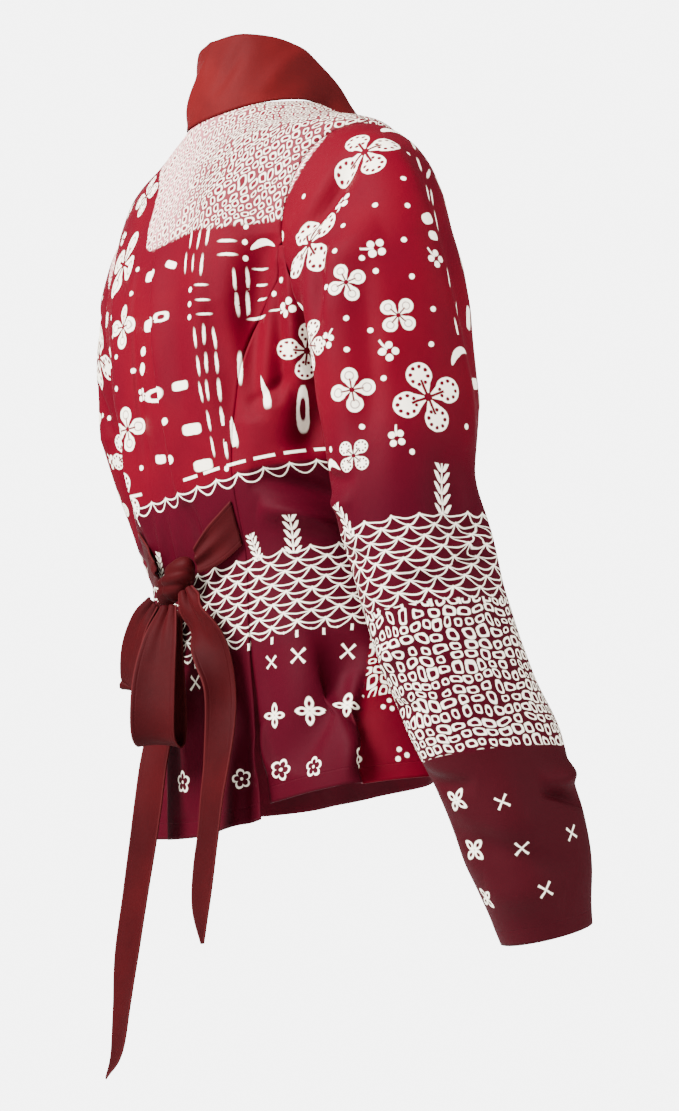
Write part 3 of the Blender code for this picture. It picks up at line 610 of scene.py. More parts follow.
def panel_rows(face):
    """Places of the rows that all the panels share, and the side or armhole edge's angle at each."""
    armhole = np.linspace(0, ARMHOLE_STEPS, steps(ARMHOLE_LENGTH, face) + 1)
    low = np.linspace(HEM, WAIST, steps(PEPLUM_LENGTH, face), endpoint=False)
    rib = np.linspace(WAIST, ARMPIT, steps(RIB_LENGTH, face), endpoint=False)
    shoulder = np.linspace(TIP, NECK, steps(SHOULDER_LENGTH, face) + 1)[1:]
    place = np.concatenate([low, rib, armhole_place(armhole), shoulder])
    side = np.full(len(place), 90.0)
    side[len(low) + len(rib) :][: len(armhole)] = armhole_angle(armhole)
    return place, side


def gap_angle(place):
    """Half a seam's gap as an angle at each place."""
    return np.degrees(PANEL_GAP / 2 / spline(RINGS, "back", place))


def centre_back(face, depth):
    """The back's middle panel."""
    place, side = panel_rows(face)
    seam = seam_angle(place)
    below = (place <= armhole_place(SEAM_STEP)) & (place < TIP)
    edge = np.where(below, seam, side) - gap_angle(place)
    place = place[:, None]
    angle = edge[:, None] * np.linspace(-1, 1, 2 * steps(BACK_WIDTH, face) + 1)
    near_edge = np.maximum(0, 1 - (edge[:, None] - np.abs(angle)) / VENT_ANGLE) ** 2
    open_share = vent(place)
    return body_cloth(angle, place, VENT_LIFT * open_share * near_edge, HEM_DROP * open_share, depth)


def side_back(side, face, depth):
    """A panel from the princess seam to the side seam and the armhole."""
    place, edge = panel_rows(face)
    rows = (place <= armhole_place(SEAM_STEP)) & (place < TIP)
    place, edge = place[rows], edge[rows] - gap_angle(place[rows])
    start = np.minimum(seam_angle(place) + gap_angle(place), edge - SEAM_TIP_ANGLE)
    place = place[:, None]
    share = np.linspace(0, 1, steps(SIDE_WIDTH, face) + 1)
    angle = start[:, None] + (edge - start)[:, None] * share
    near_seam = np.maximum(0, 1 - (angle - start[:, None]) / VENT_ANGLE) ** 2
    lift = -VENT_LIFT / 2 * vent(place) * near_seam
    angle, lift = side * angle[:, ::side], lift[:, ::side]
    return body_cloth(angle, place, lift, 0.0, depth)


def front(side, face, depth):
    """A front, from the side seam, armhole and shoulder seam to the front edge."""
    place, edge = panel_rows(face)
    start = 180 - edge + gap_angle(place)
    share = np.linspace(0, 1, steps(FRONT_WIDTH, face) + 1)
    angle = start[:, None] + (front_edge(place) - start)[:, None] * share
    return body_cloth(side * angle[:, ::side], place[:, None], 0.0, 0.0, depth)


def body_cloth(angle, place, lift, drop, depth):
    """A panel over these angles and places, with its creases."""
    angle, place, lift, drop = np.broadcast_arrays(angle, place, lift, drop)
    flat = body_flat(angle, place)
    cloth = Cloth(body_point(angle, place, lift) - drop[..., None] * UP, flat)
    cloth.push(depth * (crease_lift(BODY_CREASES, flat) + RIPPLE * ripple(flat)))
    cloth.lattice = (BODY_CHART, BODY_CHART_POINTS)
    return cloth


def middle_point(table, place):
    """Points of a sleeve's or a ribbon's middle line."""
    return np.stack([spline(table, column, place) for column in "xyz"], -1)


def unit(vectors):
    """The same directions, one long."""
    return vectors / np.linalg.norm(vectors, axis=-1, keepdims=True)


def middle_run(table, place):
    """The directions in which that line runs."""
    return unit(middle_point(table, place + RUN_SAMPLE) - middle_point(table, place - RUN_SAMPLE))


def arm_rings(sections, side, place, count):
    """A sleeve's rings: each starts where it faces the body and goes round by the back."""
    centre = middle_point(sections, place)[:, None]
    run = middle_run(sections, place)
    back = np.array([0.0, 1.0, 0.0])
    back = unit(back - run * run[:, [1]])
    body_ward = unit(np.cross(run, back))
    body_ward *= -np.sign(body_ward[:, [0]])
    angle = np.linspace(0, 360, count + 1)
    turn = np.radians(angle)[None, :, None]
    back, body_ward = back[:, None], body_ward[:, None]
    across = spline(sections, "across", place)[:, None, None]
    deep = spline(sections, "deep", place)[:, None, None]
    folds = sum(fold.depth * fold_height(fold, angle[None, :], place[:, None]) for fold in ARM_FOLDS)
    points = centre + body_ward * (across * np.cos(turn)) + back * (deep * np.sin(turn))
    points += (body_ward * np.cos(turn) + back * np.sin(turn)) * folds[..., None]
    points[..., 0] *= -side
    return points


def cap_rows(loop, ring, side, share):
    """Rows of the sleeve's cap, between the armhole (share 0) and the first arm ring (1)."""
    height = (0.5 - 0.5 * np.cos(2 * np.pi * np.linspace(0, 1, len(loop))))[:, None]
    turn, leave, arrive = (low + (high - low) * height for low, high in zip(CAP_LOW, CAP_HIGH))
    turn = np.radians(turn)
    way_out = np.concatenate([-side * np.cos(turn), 0 * turn, -np.sin(turn)], axis=1)
    reach = np.linalg.norm(ring - loop, axis=-1, keepdims=True)
    start = loop + way_out * PANEL_GAP
    t = share[:, None, None]
    return (
        start * (2 * t**3 - 3 * t**2 + 1)
        + way_out * reach * leave * (t**3 - 2 * t**2 + t)
        + ring * (3 * t**2 - 2 * t**3)
        + np.array([-side * ARM_SPLAY, 0, -1]) * reach * arrive * (t**3 - t**2)
    )


def sleeve(sections, side, creases, face, depth):
    """A sleeve, from its cuff up to its armhole."""
    half = steps(ARM_ROUND / 2, face)
    step = np.linspace(0, ARMHOLE_STEPS, half + 1)
    angle = np.concatenate([armhole_angle(step), 180 - armhole_angle(step)[-2::-1]])
    place = np.concatenate([armhole_place(step), armhole_place(step)[-2::-1]])
    loop = body_point(side * angle, place)
    last = len(sections) - 1
    rings = arm_rings(sections, side, np.linspace(0, last, steps(ARM_LENGTH, face) + 1), 2 * half)
    cap_steps = steps(CAP_LENGTH, face)
    cap = cap_rows(loop, rings[0], side, np.arange(cap_steps) / cap_steps)
    points = np.concatenate([cap, rings])[::-1]
    around = lengths(points, 1)
    around -= around[:, [half]]
    up = lengths(points, 0)
    up -= up[[len(rings) - 1]]
    flat = np.stack([around, up], -1)
    cloth = Cloth(points[:, ::side], flat[:, ::side], closed=True)
    lift = crease_lift(creases, cloth.flat) + RIPPLE * ripple(cloth.flat + SLEEVE_RIPPLE_START)
    from_ends = np.minimum(up[[-1]] - up, up - up[[0]])[:, ::side]
    settle = np.minimum(1, from_ends / SLEEVE_SETTLE)
    cloth.push(depth * lift * settle)
    return cloth


def collar_base(share):
    """Points of the neckline, from the centre back (0) to near the foot of the V (1), on the left."""
    end_angle = FRONT_EDGE[-1].angle
    on_neck = share < NECK_SHARE
    place = NECK + (COLLAR_FOOT - NECK) * np.maximum(0, share - NECK_SHARE) / (1 - NECK_SHARE)
    gap = COLLAR_GAP_ANGLE * (NECK - place) / (NECK - COLLAR_FOOT)
    angle = np.where(on_neck, -end_angle * share / NECK_SHARE, -front_edge(place) - gap)
    return body_point(angle, np.where(on_neck, NECK, place), COLLAR_OUT)


def collar(face, depth):
    """The collar, from the neckline up to its top edge."""
    share = np.abs(np.linspace(-1, 1, 2 * steps(COLLAR_LENGTH, face) + 1))
    mirror = np.where(np.linspace(-1, 1, len(share)) > 0, -1.0, 1.0)
    base = collar_base(share)
    base[:, 2] += COLLAR_RISE
    top = np.stack([spline(COLLAR_TOP, column, share, "share") for column in "xyz"], -1)
    rise = np.linspace(0, 1, steps(COLLAR_HEIGHT, face) + 1)[:, None]
    points = base + (top - base) * rise[..., None]
    away = points * np.array([1.0, 1.0, 0.0])
    points += unit(away) * (COLLAR_BELLY * np.sin(np.pi * rise))[..., None]
    points[..., 0] = np.abs(points[..., 0]) * mirror
    around = lengths(points[: len(rise) // 2 + 1], 1)[-1]
    across = np.broadcast_to(around - around[len(share) // 2], points.shape[:2])
    flat = np.stack([across, lengths(points, 0)], -1)
    cloth = Cloth(points, flat)
    lift = crease_lift(COLLAR_CREASES, flat) + RIPPLE * COLLAR_RIPPLE_SHARE * ripple(flat)
    cloth.push(depth * np.minimum(1, rise / COLLAR_SETTLE) * lift)
    return cloth


def strap(side, face, depth):
    """A strap, from its seam to the knot, each row from its lower to its upper edge."""
    shift = 0 if side == 1 else LEFT_STRAP_SHIFT / (len(STRAP) - 1)
    along = np.linspace(0, len(STRAP) - 1, steps(STRAP_LENGTH, face) + 1)[:, None]
    angle, place, lift, share, slant = (spline(STRAP, column, along) for column in STRAP[0]._fields)
    height = spline(RINGS, "back_z", place + 0.5) - spline(RINGS, "back_z", place - 0.5)
    across = np.linspace(-1, 1, steps(TIE_WIDTH, face) + 1)[None, :]
    rise = TIE_WIDTH / 2 * share * across / height
    bow = TIE_CURL * TIE_WIDTH * share * (1 - share) * (1 - across**2)
    turned = side * (angle - slant * across - shift * along)
    points = body_point(turned, place + rise, lift + bow)[:, ::side]
    return ribbon_cloth(points, depth, at_end=True)


def ribbon(runs, face, depth):
    """A loop or tail, along its middle line."""
    length = np.linalg.norm(np.diff(middle_point(runs, np.arange(len(runs))), axis=0), axis=1).sum()
    along = np.linspace(0, len(runs) - 1, steps(length, face) + 1)
    centre, run = middle_point(runs, along), middle_run(runs, along)
    heading, dip = (np.radians(spline(runs, column, along)) for column in ("heading", "dip"))
    flatways = np.cos(dip)
    width = np.stack([-np.cos(heading) * flatways, -np.sin(heading) * flatways, -np.sin(dip)], -1)
    width = unit(width - run * (width * run).sum(-1, keepdims=True))
    out = np.cross(width, run)
    half = (TIE_WIDTH / 2 * spline(runs, "share", along))[:, None, None]
    across = np.linspace(-1, 1, steps(TIE_WIDTH, face) + 1)[None, :, None]
    points = centre[:, None] + width[:, None] * half * across
    points += out[:, None] * TIE_CURL * half * (1 - across**2)
    return ribbon_cloth(points, depth, at_end=False)


def ribbon_cloth(points, depth, at_end):
    """A ribbon's cloth: gathered into soft pleats at its end or start, beside the knot."""
    columns = points.shape[1]
    along = lengths(points, 0)[:, [columns // 2]]
    share = np.linspace(-1, 1, columns)[None, :]
    width = TIE_WIDTH * np.ones_like(along)
    flat = np.stack([share * width / 2, np.broadcast_to(along, points.shape[:2])], -1)
    cloth = Cloth(points, flat)
    from_knot = along[[-1]] - along if at_end else along
    waves, start = STRAP_PLEATS if at_end else RIBBON_PLEATS
    pleat = np.exp(-((from_knot / GATHER) ** 2)) * np.cos(waves * np.pi * share + start)
    lift = TIE_PLEAT * pleat + TIE_RIPPLE * ripple(flat * np.array(TIE_RIPPLE_STRETCH) + TIE_RIPPLE_START)
    cloth.push(depth * lift * (1 - 0.5 * np.abs(share)))
    return cloth


def knot_form():
    """The knot: a flattened ball wrapped on a slant by one end of the tie."""
    form = bmesh.new()
    bmesh.ops.create_uvsphere(form, u_segments=KNOT_SEGMENTS, v_segments=KNOT_RINGS, radius=1)
    shape = Matrix.Rotation(math.radians(KNOT_TILT), 3, "Y") @ Matrix.Diagonal(KNOT_SIZE)
    for vert in form.verts:
        off = vert.co.x + KNOT_GROOVE_SLANT * vert.co.z - KNOT_GROOVE_AT
        groove = 1 - KNOT_GROOVE * math.exp(-((off / KNOT_GROOVE_WIDTH) ** 2))
        wrap = vert.co.z * PLEAT_SLANT - vert.co.x
        pleats = sum(p.depth * math.exp(-(((wrap - p.at) / p.width) ** 2)) for p in KNOT_PLEATS)
        vert.co = KNOT_CENTRE + shape @ vert.co * (groove + pleats * (1 - vert.co.x**2))
    return form


# ---------------------------------------------------------------- the print's layout

# Where the print changes, as lines over the flat cloth: metres up at so many metres across.
LinePoint = namedtuple("LinePoint", "across up")
YOKE_LINE = (
    LinePoint(-0.30, 0.400),
    LinePoint(-0.060, 0.360),
    LinePoint(-0.030, 0.320),
    LinePoint(-0.020, 0.285),
    LinePoint(-0.012, 0.262),
    LinePoint(0.000, 0.258),
    LinePoint(0.060, 0.261),
    LinePoint(0.085, 0.253),
    LinePoint(0.140, 0.247),
    LinePoint(0.200, 0.262),
    LinePoint(0.300, 0.330),
)
SLEEVE_YOKE_LINE = (
    LinePoint(-0.170, 0.120),
    LinePoint(-0.110, 0.134),
    LinePoint(-0.085, 0.151),
    LinePoint(-0.045, 0.178),
    LinePoint(-0.010, 0.215),
    LinePoint(0.170, 0.300),
)
WAIST_LINE = 0.0620
NET_TOP, NET_BOTTOM = -0.0015, -0.0655
SLEEVE_NET_TOP, SLEEVE_NET_BOTTOM = -0.157, -0.221
SLEEVE_PEBBLE_BOTTOM = -0.337
NET_PITCH, NET_WIDTH = 0.0080, 0.0210

# A motif of the print: its kind, where it is on the flat cloth, its radius and how far it is turned.
# The tables below give the rest of each motif under its kind.
Motif = namedtuple("Motif", "kind across up radius turn")
DOT_RADIUS = 0.0021
KINDS = (
    "none", "dotted", "blossom", "clover", "dot", "cross", "four", "five", "sprig",
    "dash", "three", "leaf", "ring", "block", "bead", "drop", "loop",
)
BODY_MOTIFS = {
    "blossom": (
        (-0.056, 0.258, 0.0290, 20), (-0.037, 0.203, 0.018, 40), (-0.037, 0.122, 0.018, 45),
    ),
    "dotted": (
        (-0.055, 0.320, 0.020, 50), (-0.056, 0.068, 0.024, 15), (0.155, 0.144, 0.022, 30),
    ),
    "clover": (
        (0.146, 0.178, 0.008, 200), (-0.016, 0.146, 0.006, 0),
    ),
    "block": (
        (0.005, 0.236, 0.0100, -6), (0.033, 0.238, 0.0070, -20), (0.009, 0.196, 0.0115, -4),
        (0.044, 0.140, 0.0085, -3), (0.049, 0.105, 0.0100, -4), (0.003, 0.092, 0.0080, -8),
        (0.053, 0.076, 0.0100, -2),
    ),
    "ring": (
        (0.029, 0.197, 0.0070, 0),
    ),
    "bead": (
        (-0.005, 0.178, 0.0045, 10), (-0.009, 0.165, 0.0055, 40), (0.025, 0.117, 0.0035, 20),
        (0.022, 0.088, 0.0042, 20),
    ),
    "loop": (
        (0.008, 0.141, 0.0165, 175), (0.145, 0.101, 0.0150, 82),
    ),
    "dash": (
        (0.054, 0.254, 0.0070, 100), (0.067, 0.250, 0.0070, 95), (0.076, 0.250, 0.0070, 95),
        (0.053, 0.234, 0.0080, 100), (0.065, 0.231, 0.0060, 95), (0.075, 0.227, 0.0075, 90),
        (0.075, 0.211, 0.0050, -6), (0.076, 0.199, 0.0050, -8), (0.076, 0.188, 0.0050, -6),
        (0.066, 0.172, 0.0065, 90), (0.0735, 0.173, 0.0065, 86), (0.081, 0.168, 0.0070, 90),
        (0.066, 0.150, 0.0065, 90), (0.0725, 0.151, 0.0065, 88), (0.080, 0.149, 0.0070, 88),
        (0.065, 0.130, 0.0065, 92), (0.0705, 0.130, 0.0065, 88), (0.079, 0.128, 0.0075, 88),
        (0.067, 0.107, 0.0065, 90), (0.078, 0.106, 0.0075, 90), (0.066, 0.087, 0.0065, 90),
        (0.077, 0.084, 0.0075, 90), (0.095, 0.240, 0.0070, 0), (0.097, 0.229, 0.0070, 0),
        (0.103, 0.209, 0.0070, 92), (0.112, 0.209, 0.0070, 90), (0.103, 0.190, 0.0080, 88),
        (0.110, 0.190, 0.0080, 86), (0.121, 0.215, 0.0050, 0), (0.120, 0.203, 0.0050, -6),
        (0.119, 0.192, 0.0055, -4), (0.116, 0.178, 0.0070, 0), (0.134, 0.179, 0.0045, 0),
        (0.098, 0.141, 0.0115, 84),
    ),
    "leaf": (
        (0.124, 0.232, 0.0100, 8),
    ),
    "drop": (
        (0.117, 0.118, 0.0120, -84), (0.085, 0.094, 0.0115, -88),
    ),
    "cross": (
        (0.010, -0.083, 0.0080, 45), (0.093, -0.084, 0.0065, 45), (0.117, -0.085, 0.0080, 45),
        (0.156, -0.085, 0.0075, 45),
    ),
    "four": (
        (0.095, -0.124, 0.0088, 45), (0.125, -0.128, 0.0100, 45), (0.161, -0.128, 0.0090, 45),
    ),
    "five": (
        (-0.012, -0.157, 0.0090, 10), (0.066, -0.166, 0.0080, 30), (0.100, -0.165, 0.0085, 0),
        (0.132, -0.171, 0.0082, 20), (0.172, -0.171, 0.0080, 20),
    ),
    "three": (
        (0.193, -0.133, 0.0065, 30), (0.210, -0.172, 0.0070, 60),
    ),
    "sprig": (
        (0.114, 0.009, 0.0150, 82), (0.082, 0.005, 0.0110, 100), (-0.030, 0.013, 0.0110, 75),
    ),
}
BODY_DOTS = (
    (-0.061, 0.214), (-0.057, 0.198), (-0.046, 0.180), (-0.045, 0.155), (-0.054, 0.138), (-0.024, 0.228),
    (-0.024, 0.166), (-0.027, 0.090), (-0.020, 0.247), (0.109, 0.248), (0.110, 0.236), (0.111, 0.224),
    (0.064, 0.210), (0.063, 0.199), (0.062, 0.189), (0.075, 0.068), (0.141, 0.201), (0.133, 0.192),
)
SLEEVE_MOTIFS = {
    "dotted": (
        (-0.030, 0.132, 0.0275, 50), (-0.099, 0.071, 0.0300, 65), (-0.007, -0.072, 0.0275, 65),
        (-0.064, -0.108, 0.0140, 0), (-0.100, -0.018, 0.0190, 30),
    ),
    "leaf": (
        (0.008, 0.170, 0.0150, 10), (0.022, -0.040, 0.0120, 28), (-0.088, -0.110, 0.0110, -8),
    ),
    "blossom": (
        (-0.058, 0.020, 0.0150, 69), (-0.022, -0.010, 0.0150, 0), (-0.063, -0.060, 0.0170, 50),
    ),
    "clover": (
        (-0.060, 0.095, 0.0080, 250), (-0.034, 0.042, 0.0080, 190), (-0.032, -0.036, 0.0075, 130),
        (-0.078, -0.020, 0.0065, 60), (-0.031, -0.101, 0.0070, 100), (0.008, 0.031, 0.0070, 140),
    ),
    "bead": (
        (0.004, 0.062, 0.0060, 30), (0.008, 0.049, 0.0050, 10),
    ),
    "sprig": (
        (0.004, -0.139, 0.0190, 82), (-0.082, -0.152, 0.0140, 100),
    ),
    "dash": (
        (0.018, 0.150, 0.0090, 75), (0.011, 0.119, 0.0080, 84), (0.020, 0.112, 0.0085, 60),
        (0.010, 0.087, 0.0070, 84), (0.016, 0.086, 0.0070, 84), (0.017, 0.065, 0.0070, 100),
        (0.021, 0.019, 0.0070, 84), (0.021, -0.020, 0.0060, 100), (0.030, -0.003, 0.0060, 60),
    ),
    "cross": (
        (-0.034, -0.377, 0.0065, 45), (-0.030, -0.415, 0.0070, 40), (-0.018, -0.446, 0.0070, 50),
        (0.016, -0.404, 0.0070, 45),
    ),
    "four": (
        (-0.068, -0.371, 0.0090, 0), (-0.072, -0.410, 0.0090, 0), (-0.066, -0.447, 0.0085, 10),
    ),
}
SLEEVE_DOTS = (
    (-0.088, 0.128), (-0.010, 0.095), (-0.032, 0.077), (-0.060, 0.068), (-0.010, 0.072), (-0.066, 0.045),
    (-0.014, 0.046), (-0.035, 0.025), (-0.010, 0.018), (-0.045, 0.036), (-0.084, 0.017), (-0.075, 0.020),
    (-0.060, -0.007), (-0.043, -0.018), (0.003, -0.007), (-0.001, -0.033), (-0.063, -0.030),
    (-0.038, -0.055), (-0.057, -0.088), (0.026, -0.093), (-0.087, -0.098), (0.003, 0.128), (-0.020, -0.112),
)


# The tables cover the cloth between these distances across; rows and seeded draws fill the rest.
BODY_SHOWN, SLEEVE_SHOWN = (-0.075, 0.222), (-0.125, 0.040)
PATCH_START, PATCH_BOTTOM = 0.172, -0.124  # the fronts' patch of pebbles, below the net
PATCH_CLEAR = 0.008  # on the fronts, the rows' motifs are at least this far below the patch
PATCH_MARGIN = 0.001  # how far pebbles keep from the net
STREWN = (("dotted", 0.021), ("blossom", 0.014), ("clover", 0.007), ("dash", 0.007), ("block", 0.009))
STREWN_PITCH, MOTIF_GAP = 0.027, 0.003
STREWN_SIZES = (0.85, 1.15)
STREWN_SHIFT = 0.25  # share of the pitch by which chance moves a motif to any side
ABOVE_WAIST, BELOW_YOKE = 0.014, 0.004  # how far strewn motifs keep from those lines
BODY_SEED, BODY_BOX = 5, (-0.45, 0.06, 0.45, 0.34)
SLEEVE_SEED, SLEEVE_BOX = 9, (-0.18, -0.13, 0.18, 0.20)
SLEEVE_STREWN_LOW = -0.125
PEPLUM_ROWS = (("cross", -0.084, 0.0075, 45), ("four", -0.125, 0.0090, 45), ("five", -0.166, 0.0082, 15))
CUFF_ROWS = (("cross", -0.377, 0.0068, 45), ("four", -0.411, 0.0088, 10), ("cross", -0.447, 0.0068, 40))
ROW_PITCH, ROW_SHIFT = 0.039, 0.4
BODY_REACH, SLEEVE_REACH = 0.46, 0.16

# How dark the ground is at heights up the cloth: 0 is red, 1 wine and 2 maroon; below the net it grows darker
# towards the hem.
DyePoint = namedtuple("DyePoint", "up dye")
BODY_DYE = (
    DyePoint(NET_BOTTOM - 0.12, 1.3),
    DyePoint(NET_BOTTOM - 0.01, 0.85),
    DyePoint(NET_BOTTOM, 1.0),
    DyePoint(0.0, 1.0),
    DyePoint(0.03, 0.9),
)
SLEEVE_DYE = (
    DyePoint(SLEEVE_PEBBLE_BOTTOM - 0.002, 2.0),
    DyePoint(SLEEVE_PEBBLE_BOTTOM + 0.002, 1.0),
    DyePoint(SLEEVE_NET_TOP, 0.9),
    DyePoint(-0.10, 0.45),
    DyePoint(-0.03, 0.0),
)
FRONT_DYE_PAINTED_LIGHT = 0.1  # on the fronts below the net; nearly red instead of wine, as painted light where they face the fill light


def line_height(line, across):
    """How far up a line of the print is at each distance across."""
    return np.interp(across, [point.across for point in line], [point.up for point in line])


def scatter(seed, box, taken, open_ground):
    """Motifs strewn over a box, one to a cell at most, clear of those there already."""
    chance = random.Random(seed)
    strewn = list(taken)
    left, low, right, high = box
    rows, columns = int((high - low) / STREWN_PITCH), int((right - left) / STREWN_PITCH)
    for row in range(rows):
        for column in range(columns):
            kind, radius = chance.choice(STREWN)
            radius *= chance.uniform(*STREWN_SIZES)
            aside = 0.5 * (row % 2) + chance.uniform(-STREWN_SHIFT, STREWN_SHIFT)
            across = left + (column + 0.5 + aside) * STREWN_PITCH
            up = low + (row + 0.5 + chance.uniform(-STREWN_SHIFT, STREWN_SHIFT)) * STREWN_PITCH
            clear = all(
                math.hypot(across - other.across, up - other.up) > radius + other.radius + MOTIF_GAP
                for other in strewn
            )
            turn = chance.uniform(0, 360) if kind != "dash" else chance.choice((0, 90))
            if clear and open_ground(across, up, radius):
                strewn.append(Motif(kind, across, up, radius, turn))
    return strewn


def laid_out(table, dots):
    """A table's motifs in one list, with its small dots."""
    motifs = [Motif(kind, *row) for kind, rows in table.items() for row in rows]
    return motifs + [Motif("dot", across, up, DOT_RADIUS, 0) for across, up in dots]


def beyond(shown, across):
    """Whether a place across lies outside the stretch that a table gives."""
    return not shown[0] < across < shown[1]


def rows_beyond(shown, rows, reach):
    """Rows of motifs round the rest of the cloth."""
    count = int(reach / ROW_PITCH)
    placed = [
        Motif(kind, column * ROW_PITCH + ROW_SHIFT * ROW_PITCH * (line % 2), up, radius, turn)
        for line, (kind, up, radius, turn) in enumerate(rows)
        for column in range(-count, count + 1)
    ]
    return [motif for motif in placed if beyond(shown, motif.across)]


def body_motifs():
    """All the motifs of the body's print."""

    def open_ground(across, up, radius):
        above_waist = up - radius > WAIST_LINE + ABOVE_WAIST
        below_yoke = up + radius < line_height(YOKE_LINE, across) - BELOW_YOKE
        return beyond(BODY_SHOWN, across) and above_waist and below_yoke

    rows = rows_beyond(BODY_SHOWN, PEPLUM_ROWS, BODY_REACH)
    below = PATCH_BOTTOM - PATCH_CLEAR
    rows = [motif for motif in rows if abs(motif.across) < PATCH_START or motif.up < below]
    return scatter(BODY_SEED, BODY_BOX, laid_out(BODY_MOTIFS, BODY_DOTS) + rows, open_ground)


def sleeve_motifs():
    """All the motifs of a sleeve's print."""

    def open_ground(across, up, radius):
        return beyond(SLEEVE_SHOWN, across) and up - radius > SLEEVE_STREWN_LOW

    rows = rows_beyond(SLEEVE_SHOWN, CUFF_ROWS, SLEEVE_REACH)
    return scatter(SLEEVE_SEED, SLEEVE_BOX, laid_out(SLEEVE_MOTIFS, SLEEVE_DOTS) + rows, open_ground)


def body_print(cloth):
    """Tells a body panel's finish how far each point is from the lines at which the print changes."""
    across, up = cloth.flat[..., 0], cloth.flat[..., 1]
    below_net = PATCH_BOTTOM - up, up - NET_BOTTOM + PATCH_MARGIN
    patch = np.maximum(PATCH_START - np.abs(across), np.maximum(*below_net))
    zones = (up - WAIST_LINE, up - line_height(YOKE_LINE, across), up - NET_BOTTOM, patch)
    cloth.zones = np.stack(zones, -1)
    dye = np.interp(up, *zip(*BODY_DYE))
    # The fronts below the net keep a low dye level: painted light where they face the fill light.
    dye = np.where((np.abs(across) > PATCH_START) & (up < NET_BOTTOM), FRONT_DYE_PAINTED_LIGHT, dye)
    cloth.dye = dye * (up < WAIST_LINE)
    cloth.motifs = body_motifs()
    return cloth


def sleeve_print(cloth):
    """Tells a sleeve's finish how far each point is from the lines at which the print changes."""
    across, up = cloth.flat[..., 0], cloth.flat[..., 1]
    middle = (SLEEVE_NET_BOTTOM + SLEEVE_PEBBLE_BOTTOM) / 2
    pebble = np.abs(up - middle) - (SLEEVE_NET_BOTTOM - SLEEVE_PEBBLE_BOTTOM) / 2 + PATCH_MARGIN
    yoke = up - line_height(SLEEVE_YOKE_LINE, across)
    cloth.zones = np.stack([np.ones_like(up), yoke, up - SLEEVE_NET_BOTTOM, pebble], -1)
    cloth.dye = np.interp(up, *zip(*SLEEVE_DYE))
    cloth.motifs = sleeve_motifs()
    return cloth


# ---------------------------------------------------------------- pieces


def corner_values(values):
    """One value for each corner of each face, from one for each grid point."""
    return np.stack([values[:-1, :-1], values[:-1, 1:], values[1:, 1:], values[1:, :-1]], 2)


def mesh_of(name, form):
    """A mesh made from a bmesh, which is then done with."""
    mesh = bpy.data.meshes.new(name)
    form.to_mesh(mesh)
    form.free()
    return mesh


def new_object(name, data, materials=()):
    """A new object in the scene."""
    for material in materials:
        data.materials.append(material)
    added = bpy.data.objects.new(name, data)
    bpy.context.scene.collection.objects.link(added)
    return added


def nearest_motifs(cloth):
    """For each face corner, where it lies from the nearest motif, and that motif's kind and radius."""
    corners = corner_values(cloth.points)
    place = np.zeros(corners.shape[:3] + (2,))
    kind = np.zeros(place.shape)
    if not cloth.motifs:
        return place, kind
    spots = [lattice_spot(*cloth.lattice, np.array([m.across, m.up])) for m in cloth.motifs]
    middles, across, up = (np.array(column) for column in zip(*spots))
    table = np.array([(m.radius, math.radians(m.turn), KINDS.index(m.kind)) for m in cloth.motifs])
    centre = corners.mean(2)
    reach = [np.linalg.norm(centre - at, axis=-1) - m.radius for at, m in zip(middles, cloth.motifs)]
    nearest = np.argmin(reach, axis=0)
    off = corners - middles[nearest][:, :, None]
    x = (off * across[nearest][:, :, None]).sum(-1)
    y = (off * up[nearest][:, :, None]).sum(-1)
    radius, turn, kinds = (table[nearest][:, :, None, column] for column in range(3))
    place[..., 0] = x * np.cos(turn) + y * np.sin(turn)
    place[..., 1] = y * np.cos(turn) - x * np.sin(turn)
    kind[..., 0], kind[..., 1] = kinds, radius
    return place, kind


def grid_mesh(name, cloth):
    """A grid laid over a cloth's points, with its UV maps."""
    rows, columns = (count - 1 for count in cloth.points.shape[:2])
    form = bmesh.new()
    bmesh.ops.create_grid(form, x_segments=columns, y_segments=rows, size=0.5)
    mesh = mesh_of(name, form)
    spots = np.empty(len(mesh.vertices) * 3)
    mesh.vertices.foreach_get("co", spots)
    spots = spots.reshape(-1, 3)
    column = np.rint((spots[:, 0] + 0.5) * columns).astype(int)
    row = np.rint((spots[:, 1] + 0.5) * rows).astype(int)
    mesh.vertices.foreach_set("co", cloth.points[row, column].ravel())
    corner = np.empty(len(mesh.loops), int)
    mesh.loops.foreach_get("vertex_index", corner)
    side, low, high = edge_reach(cloth.points)
    if cloth.closed:
        side = np.full_like(side, 1.0)
    layers = {
        "flat": cloth.flat,
        "edge": np.stack([side, low], -1),
        "top": np.stack([high, cloth.dye], -1),
        "zone": cloth.zones[..., :2],
        "band": cloth.zones[..., 2:],
    }
    for layer, values in layers.items():
        uv = mesh.uv_layers.new(name=layer)
        uv.uv.foreach_set("vector", values[row, column][corner].astype(np.float32).ravel())
    place, kind = nearest_motifs(cloth)
    faces = corner.reshape(-1, 4)
    face_row, face_column = row[faces].min(1)[:, None], column[faces].min(1)[:, None]
    right, above = column[faces] - face_column, row[faces] - face_row
    which = np.where(above == 0, right, 3 - right)
    for layer, values in (("motif", place), ("kind", kind)):
        uv = mesh.uv_layers.new(name=layer)
        uv.uv.foreach_set("vector", values[face_row, face_column, which].astype(np.float32).ravel())
    return mesh


def flat_area(flat):
    """Area of a cloth's faces on the flat: half the product of each face's diagonals."""
    corners = corner_values(flat)
    (u0, v0), (u1, v1) = (np.moveaxis(corners[:, :, k] - corners[:, :, k + 2], -1, 0) for k in (0, 1))
    return 0.5 * np.abs(u0 * v1 - u1 * v0).sum()


